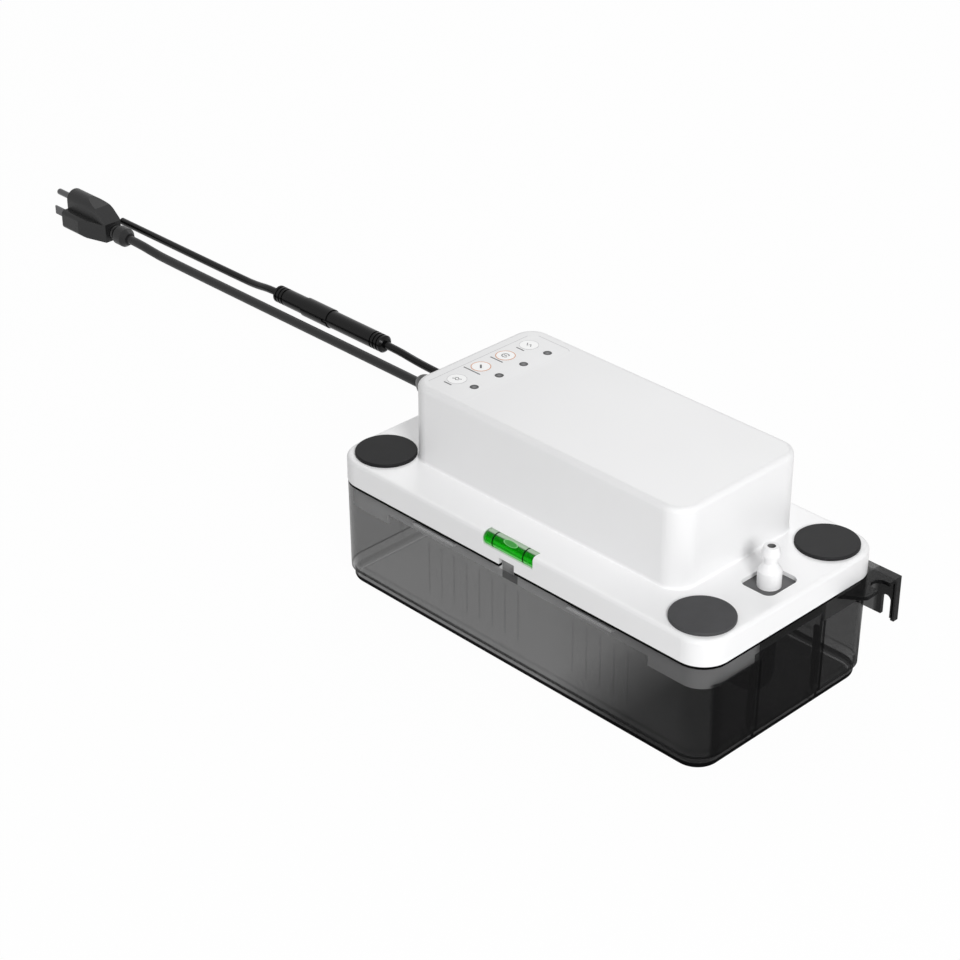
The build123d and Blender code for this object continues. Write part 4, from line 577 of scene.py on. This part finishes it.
FINISHES = {
    "white_plastic": white_finish(),
    "smoky_plastic": smoky_finish(),
    "grey_plastic": finish_of("grey_moulding", (0.09, 0.09, 0.092), 0.5, mottle=(50.0, 0.06)),
    "black_plastic": finish_of("black_moulding", (0.022, 0.022, 0.024), 0.42, mottle=(60.0, 0.15)),
    "rubber_plug": rubber_finish("plug_rubber", 0.022),
    "cord_rubber": cord_finish,
    # the last number of each vial finish is its painted emission strength
    "vial_clear": vial_finish("vial_shell", 0.5, 0.25),
    "vial_green": vial_finish("vial_filling", 1.0, 0.45),
    "marking": finish_of("vial_marking", (0.0004, 0.006, 0.0006), 0.6, specular=0.05),
    "film": finish_of("panel_film", (0.80, 0.80, 0.805), 0.3, grain=0.02, mottle=(30.0, 0.01),
                      texture=(2200.0, 0.2)),
    "lens": lens_finish(),
    "led": finish_of("led_epoxy", (0.6, 0.10, 0.07), 0.25, mottle=(300.0, 0.1)),
    "circuit": board_finish(),
    "component": finish_of("component_case", (0.02, 0.02, 0.022), 0.45, mottle=(140.0, 0.15)),
    "steel": finish_of("bright_steel", (0.60, 0.60, 0.61), 0.28, metallic=1.0, mottle=(150.0, 0.05),
                       stretch=(1, 1, 14)),
    "lamination": layered_finish("lamination_stack", (0.17, 0.17, 0.18), 0.45, 0.7, (40.0, 0.2),
                                 pitch=320.0, direction="Z", depth=0.15, strength=0.8),
    "copper": layered_finish("copper_winding", (0.46, 0.17, 0.06), 0.32, 0.6, (90.0, 0.18),
                             pitch=420.0, direction="Y", depth=0.25, strength=0.9),
    "bronze": finish_of("sintered_bronze", (0.52, 0.33, 0.13), 0.4, metallic=1.0,
                        texture=(2500.0, 0.5), mottle=(400.0, 0.15)),
    "zinc": finish_of("zinc_plate", (0.62, 0.63, 0.65), 0.35, metallic=1.0, mottle=(70.0, 0.1)),
    "nickel": finish_of("nickel_plate", (0.10, 0.10, 0.103), 0.2, metallic=1.0,
                        mottle=(200.0, 0.06), stretch=(8, 1, 1)),
    "foam": finish_of("float_foam", (0.74, 0.73, 0.69), 0.8, grain=0.25, texture=(800.0, 0.6),
                      mottle=(300.0, 0.08)),
    "magnet": finish_of("ferrite", (0.05, 0.05, 0.052), 0.6, texture=(1800.0, 0.4)),
    "capsule": finish_of("reed_glass", (0.7, 0.85, 0.78), 0.05, alpha=0.4, specular=0.9),
}

CONNECTOR_NODES = ("connector_socket", "connector_plug", "connector_collar")
NODE_FINISHES = {name: signal_finish for name in CONNECTOR_NODES}
# painted light and shade: the same rubber, darker on the front-left plug and lighter on the front-right
# one
NODE_FINISHES["inlet_plug_front_left"] = rubber_finish("plug_rubber_painted_shade", 0.016)
NODE_FINISHES["inlet_plug_front_right"] = rubber_finish("plug_rubber_painted_light", 0.068)

slot_of = {part["node"]: part["material_slot"] for part in frame["record"]["subparts"]}
for name, cad in frame["nodes"].items():
    cad.data.materials.clear()
    cad.data.materials.append(NODE_FINISHES.get(name, FINISHES[slot_of[name]]))


# ---------------------------------------------------------------- flat pieces on the panel
PANEL_Z = 131.0
INK_DARK = finish_of("ink_grey", (0.09, 0.09, 0.095), 0.5, mottle=(900.0, 0.35))
# light grey ink of the icon rims, also used for the painted glint on the panel's edges
INK_PALE_AND_GLINT = finish_of("ink_pale_and_glint", (0.52, 0.52, 0.53), 0.5, mottle=(900.0, 0.10))
INK_WHITE = finish_of("ink_white", (0.96, 0.96, 0.96), 0.35, mottle=(500.0, 0.01))
INK_GREY = finish_of("ink_mid", (0.16, 0.16, 0.165), 0.5, mottle=(900.0, 0.25))
INK_ORANGE = finish_of("ink_orange", (0.66, 0.31, 0.16), 0.45, mottle=(900.0, 0.10))


def mesh_piece(name, build, finish):
    """New mesh object from a function that fills a bmesh, riding on the pump's body."""
    data = bpy.data.meshes.new(name)
    bm = bmesh.new()
    build(bm)
    bmesh.ops.recalc_face_normals(bm, faces=bm.faces)
    bm.to_mesh(data)
    bm.free()
    data.materials.append(finish)
    piece = bpy.data.objects.new(name, data)
    bpy.context.scene.collection.objects.link(piece)
    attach(piece, ROOT)


def join_loops(bm, low, high):
    """Faces between two closed loops of vertices with the same number of points."""
    for i in range(len(low)):
        j = (i + 1) % len(low)
        bm.faces.new((low[i], low[j], high[j], high[i]))


def join_ring(bm, loops):
    """Closed tube through its loops of vertices, from the last loop back to the first."""
    for loop, following in zip(loops, loops[1:] + loops[:1]):
        join_loops(bm, loop, following)


def prism(bm, outline, z0, z1):
    """Closed flat piece with this outline, from (x, y) points in millimetres."""
    low = [bm.verts.new((x * M, y * M, z0 * M)) for x, y in outline]
    high = [bm.verts.new((x * M, y * M, z1 * M)) for x, y in outline]
    bm.faces.new(low)
    bm.faces.new(high)
    join_loops(bm, low, high)


def band(bm, outer, inner, z0, z1):
    """Closed flat ring between two outlines with the same number of points."""
    join_ring(bm, [[bm.verts.new((x * M, y * M, z * M)) for x, y in line]
                   for line, z in ((outer, z0), (outer, z1), (inner, z1), (inner, z0))])


def round_outline(x, y, radius, count=48):
    turns = [2 * math.pi * i / count for i in range(count)]
    return [(x + radius * math.cos(turn), y + radius * math.sin(turn)) for turn in turns]


def stroke(points, width):
    """Outline of a broad line through a few points."""
    left, right = [], []
    for i, (x, y) in enumerate(points):
        before = points[max(i - 1, 0)]
        after = points[min(i + 1, len(points) - 1)]
        dx, dy = after[0] - before[0], after[1] - before[1]
        size = math.hypot(dx, dy)
        left.append((x - dy / size * width / 2, y + dx / size * width / 2))
        right.append((x + dy / size * width / 2, y - dx / size * width / 2))
    return left + right[::-1]


INK_T = 0.06
RIM_TOP = PANEL_Z + INK_T * 1.6
GLYPH_TOP = PANEL_Z + INK_T * 2
LINE_TOP = PANEL_Z + INK_T * 0.7
ICONS = [(-88.5, -24.1, False), (-89.8, -4.0, True), (-89.6, 15.4, True), (-89.4, 34.3, False)]
ICON_R = 5.6
RIM_WIDTH = {True: 0.50, False: 0.25}
RIM_INK = {True: INK_ORANGE, False: INK_PALE_AND_GLINT}

for i, (x, y, ringed) in enumerate(ICONS):
    mesh_piece(f"icon_disc_{i}",
               lambda bm: prism(bm, round_outline(x, y, ICON_R), PANEL_Z, PANEL_Z + INK_T), INK_WHITE)
    outer, inner = [round_outline(x, y, ICON_R + side * RIM_WIDTH[ringed] / 2) for side in (1, -1)]
    mesh_piece(f"icon_rim_{i}", lambda bm: band(bm, outer, inner, PANEL_Z, RIM_TOP), RIM_INK[ringed])

ARC_R = 2.1
ARC = [(ARC_R * math.cos(step / 9 * math.pi), ARC_R * math.sin(step / 9 * math.pi))
       for step in range(1, 18)]
GLYPHS = [
    [[(-2.6, -1.2), (-1.2, -0.2), (0.2, -1.2), (1.6, -0.2)],
     [(-2.0, 0.6), (-0.6, 1.6), (0.8, 0.6), (2.2, 1.6)]],
    [[(-1.6, 1.4), (-0.2, 0.2), (0.2, -0.3), (1.5, -1.5)]],
    [ARC, [(-1.2, 0), (1.2, 0)]],
    [[(-2.2, 1.2), (-0.4, -1.2), (0.5, 1.2), (2.3, -1.0)]],
]
GLYPH_WIDTHS = (0.6, 1.1, 0.6, 0.6)
GLYPH_INKS = (INK_GREY, INK_DARK, INK_GREY, INK_GREY)


def strokes(bm, lines, middle, width, top):
    """Broad lines that are drawn on the panel about a middle."""
    for points in lines:
        placed = [(middle[0] + dx, middle[1] + dy) for dx, dy in points]
        prism(bm, stroke(placed, width), PANEL_Z, top)


for i, lines in enumerate(GLYPHS):
    mesh_piece(f"icon_glyph_{i}",
               lambda bm: strokes(bm, lines, ICONS[i][:2], GLYPH_WIDTHS[i], GLYPH_TOP), GLYPH_INKS[i])

LABEL_LENGTHS = (5.7, 13.0, 9.8, 6.0)
LABEL_OFF = 7.2
LABEL_WIDTH = 0.8
for i, length in enumerate(LABEL_LENGTHS):
    bar = [(-length / 2, -LABEL_OFF), (length / 2, -LABEL_OFF)]
    mesh_piece(f"label_bar_{i}",
               lambda bm: strokes(bm, [bar], ICONS[i][:2], LABEL_WIDTH, PANEL_Z + INK_T), INK_DARK)

# ---------------------------------------------------------------- the bubble's mark on the vial, with a painted highlight round its rim
BUBBLE_X = -0.6
BUBBLE_HALF = (5.2, 22.0)      # half length in millimetres along X, half width in degrees round it
BUBBLE_LEAN = 59.0
BUBBLE_TURN = 40
BUBBLE_R = (4.62, 4.67)


def on_vial(share, turn, radius):
    """Point on a cylinder round the vial's axis, inside an ellipse about the bubble's middle."""
    angle = math.radians(BUBBLE_LEAN + share * BUBBLE_HALF[1] * math.sin(turn))
    return ((BUBBLE_X + share * BUBBLE_HALF[0] * math.cos(turn)) * M,
            (VIAL_Y - radius * math.cos(angle)) * M, (VIAL_Z + radius * math.sin(angle)) * M)


def bubble_patch(bm, inner, outer):
    """Thin closed patch of the vial's surface between two ellipses."""
    turns = [2 * math.pi * i / BUBBLE_TURN for i in range(BUBBLE_TURN)]
    low, high = BUBBLE_R
    join_ring(bm, [[bm.verts.new(on_vial(share, turn, radius)) for turn in turns]
                   for share, radius in ((outer, low), (outer, high), (inner, high), (inner, low))])


# painted highlight: a lighter green ring round the bubble
BUBBLE_RIM_HIGHLIGHT = finish_of("bubble_rim_highlight", (0.20, 0.60, 0.20), 0.3, specular=0.1, mottle=(500.0, 0.1))
BUBBLE_GREEN = finish_of("bubble_face", (0.07, 0.34, 0.07), 0.3, specular=0.1, mottle=(500.0, 0.1))
mesh_piece("bubble_rim_highlight", lambda bm: bubble_patch(bm, 0.86, 1.0), BUBBLE_RIM_HIGHLIGHT)
mesh_piece("bubble_face", lambda bm: bubble_patch(bm, 0.03, 0.87), BUBBLE_GREEN)

# painted glint along two edges of the panel's film
PANEL_EDGE_GLINTS = [[(-98.0, -37.0), (-98.0, 42.0)], [(-93.5, 46.4), (-70.0, 46.4), (-67.6, 45.2)]]
PANEL_LINE_WIDTH = 0.3
mesh_piece("panel_edge_glints",
           lambda bm: strokes(bm, PANEL_EDGE_GLINTS, (0, 0), PANEL_LINE_WIDTH, LINE_TOP), INK_PALE_AND_GLINT)


# ---------------------------------------------------------------- floor, world and lamps
def seen_directly(tree):
    """1 where the camera, a reflection or a see-through piece looks at it, and 0 for light."""
    path = node(tree, "ShaderNodeLightPath")
    camera_ray, glossy_ray, transmission_ray = [
        Amount(tree, path.outputs[f"Is {kind} Ray"]) for kind in ("Camera", "Glossy", "Transmission")]
    return camera_ray.at_least(glossy_ray).at_least(transmission_ray)


FLOOR_SIZE = 24.0
FLOOR_Z = -0.0004
FLOOR_WHITE = 0.97
FLOOR_GREYS = ((0.85, 0.85, 0.85, 1), (0.86, 0.86, 0.86, 1))
WHITE = (1, 1, 1, 1)
WORLD_LIGHT = 0.46
# Light that the floor under the tank gives back, where the tank stands on it: its emission fades towards
# +X, a painted shade.
STAND_REACH = (10.8, 12.2)
STAND_SPAN = (20.0, 75.0)
SHADE_LIGHT = 0.60
SHADE_DARK = 0.07

floor_mat, floor_tree, floor_out = new_tree("floor_white")
floor_diffuse = node(floor_tree, "ShaderNodeBsdfDiffuse")
floor_noise = node(floor_tree, "ShaderNodeTexNoise", Scale=3.0)
wire(floor_tree, blend(floor_tree, floor_noise.outputs["Fac"], *FLOOR_GREYS),
     floor_diffuse.inputs["Color"])
floor_glow = node(floor_tree, "ShaderNodeEmission", Strength=1.0)
node(floor_tree, "ShaderNodeTexCoord")
floor_x, floor_y, _ = surface_axes(floor_tree)
beside = corner_reach(floor_x, floor_y).rises(STAND_REACH)
# painted shade under the tank, darker towards +X
under = floor_x.falls(STAND_SPAN, top=SHADE_LIGHT, bottom=SHADE_DARK)
floor_share = seen_directly(floor_tree) * (beside.at_least(under) * FLOOR_WHITE)
blend_shaders(floor_tree, floor_share.socket, floor_diffuse.outputs[0], floor_glow.outputs[0],
              floor_out.inputs["Surface"])

floor_data = bpy.data.meshes.new("floor")
half = FLOOR_SIZE / 2
floor_data.from_pydata([(-half, -half, FLOOR_Z), (half, -half, FLOOR_Z), (half, half, FLOOR_Z),
                        (-half, half, FLOOR_Z)], [], [(0, 1, 2, 3)])
floor_data.materials.append(floor_mat)
floor = bpy.data.objects.new("floor", floor_data)
bpy.context.scene.collection.objects.link(floor)

world = bpy.data.worlds.new("studio")
world.use_nodes = True
bpy.context.scene.world = world
sky = world.node_tree
sky.nodes.clear()
sky_out = node(sky, "ShaderNodeOutputWorld")
sky_light = node(sky, "ShaderNodeBackground", Strength=WORLD_LIGHT, Color=WHITE)
sky_white = node(sky, "ShaderNodeBackground", Strength=1.0, Color=WHITE)
blend_shaders(sky, seen_directly(sky).socket, sky_light.outputs[0], sky_white.outputs[0],
              sky_out.inputs["Surface"])

LAMP_TARGET = (0, 0, 0.06)


def lamp(name, place, power, size):
    """Soft square lamp that faces the object."""
    data = bpy.data.lights.new(name, "AREA")
    data.energy = power
    data.size = size
    light = bpy.data.objects.new(name, data)
    bpy.context.scene.collection.objects.link(light)
    light.location = place
    aim = Vector(LAMP_TARGET) - Vector(place)
    light.rotation_euler = aim.to_track_quat("-Z", "Y").to_euler()


lamp("key", (1.436, -0.746, 0.987), power=21.6, size=0.5)
lamp("back", (-0.9, 1.2, 1.2), power=5.0, size=0.7)
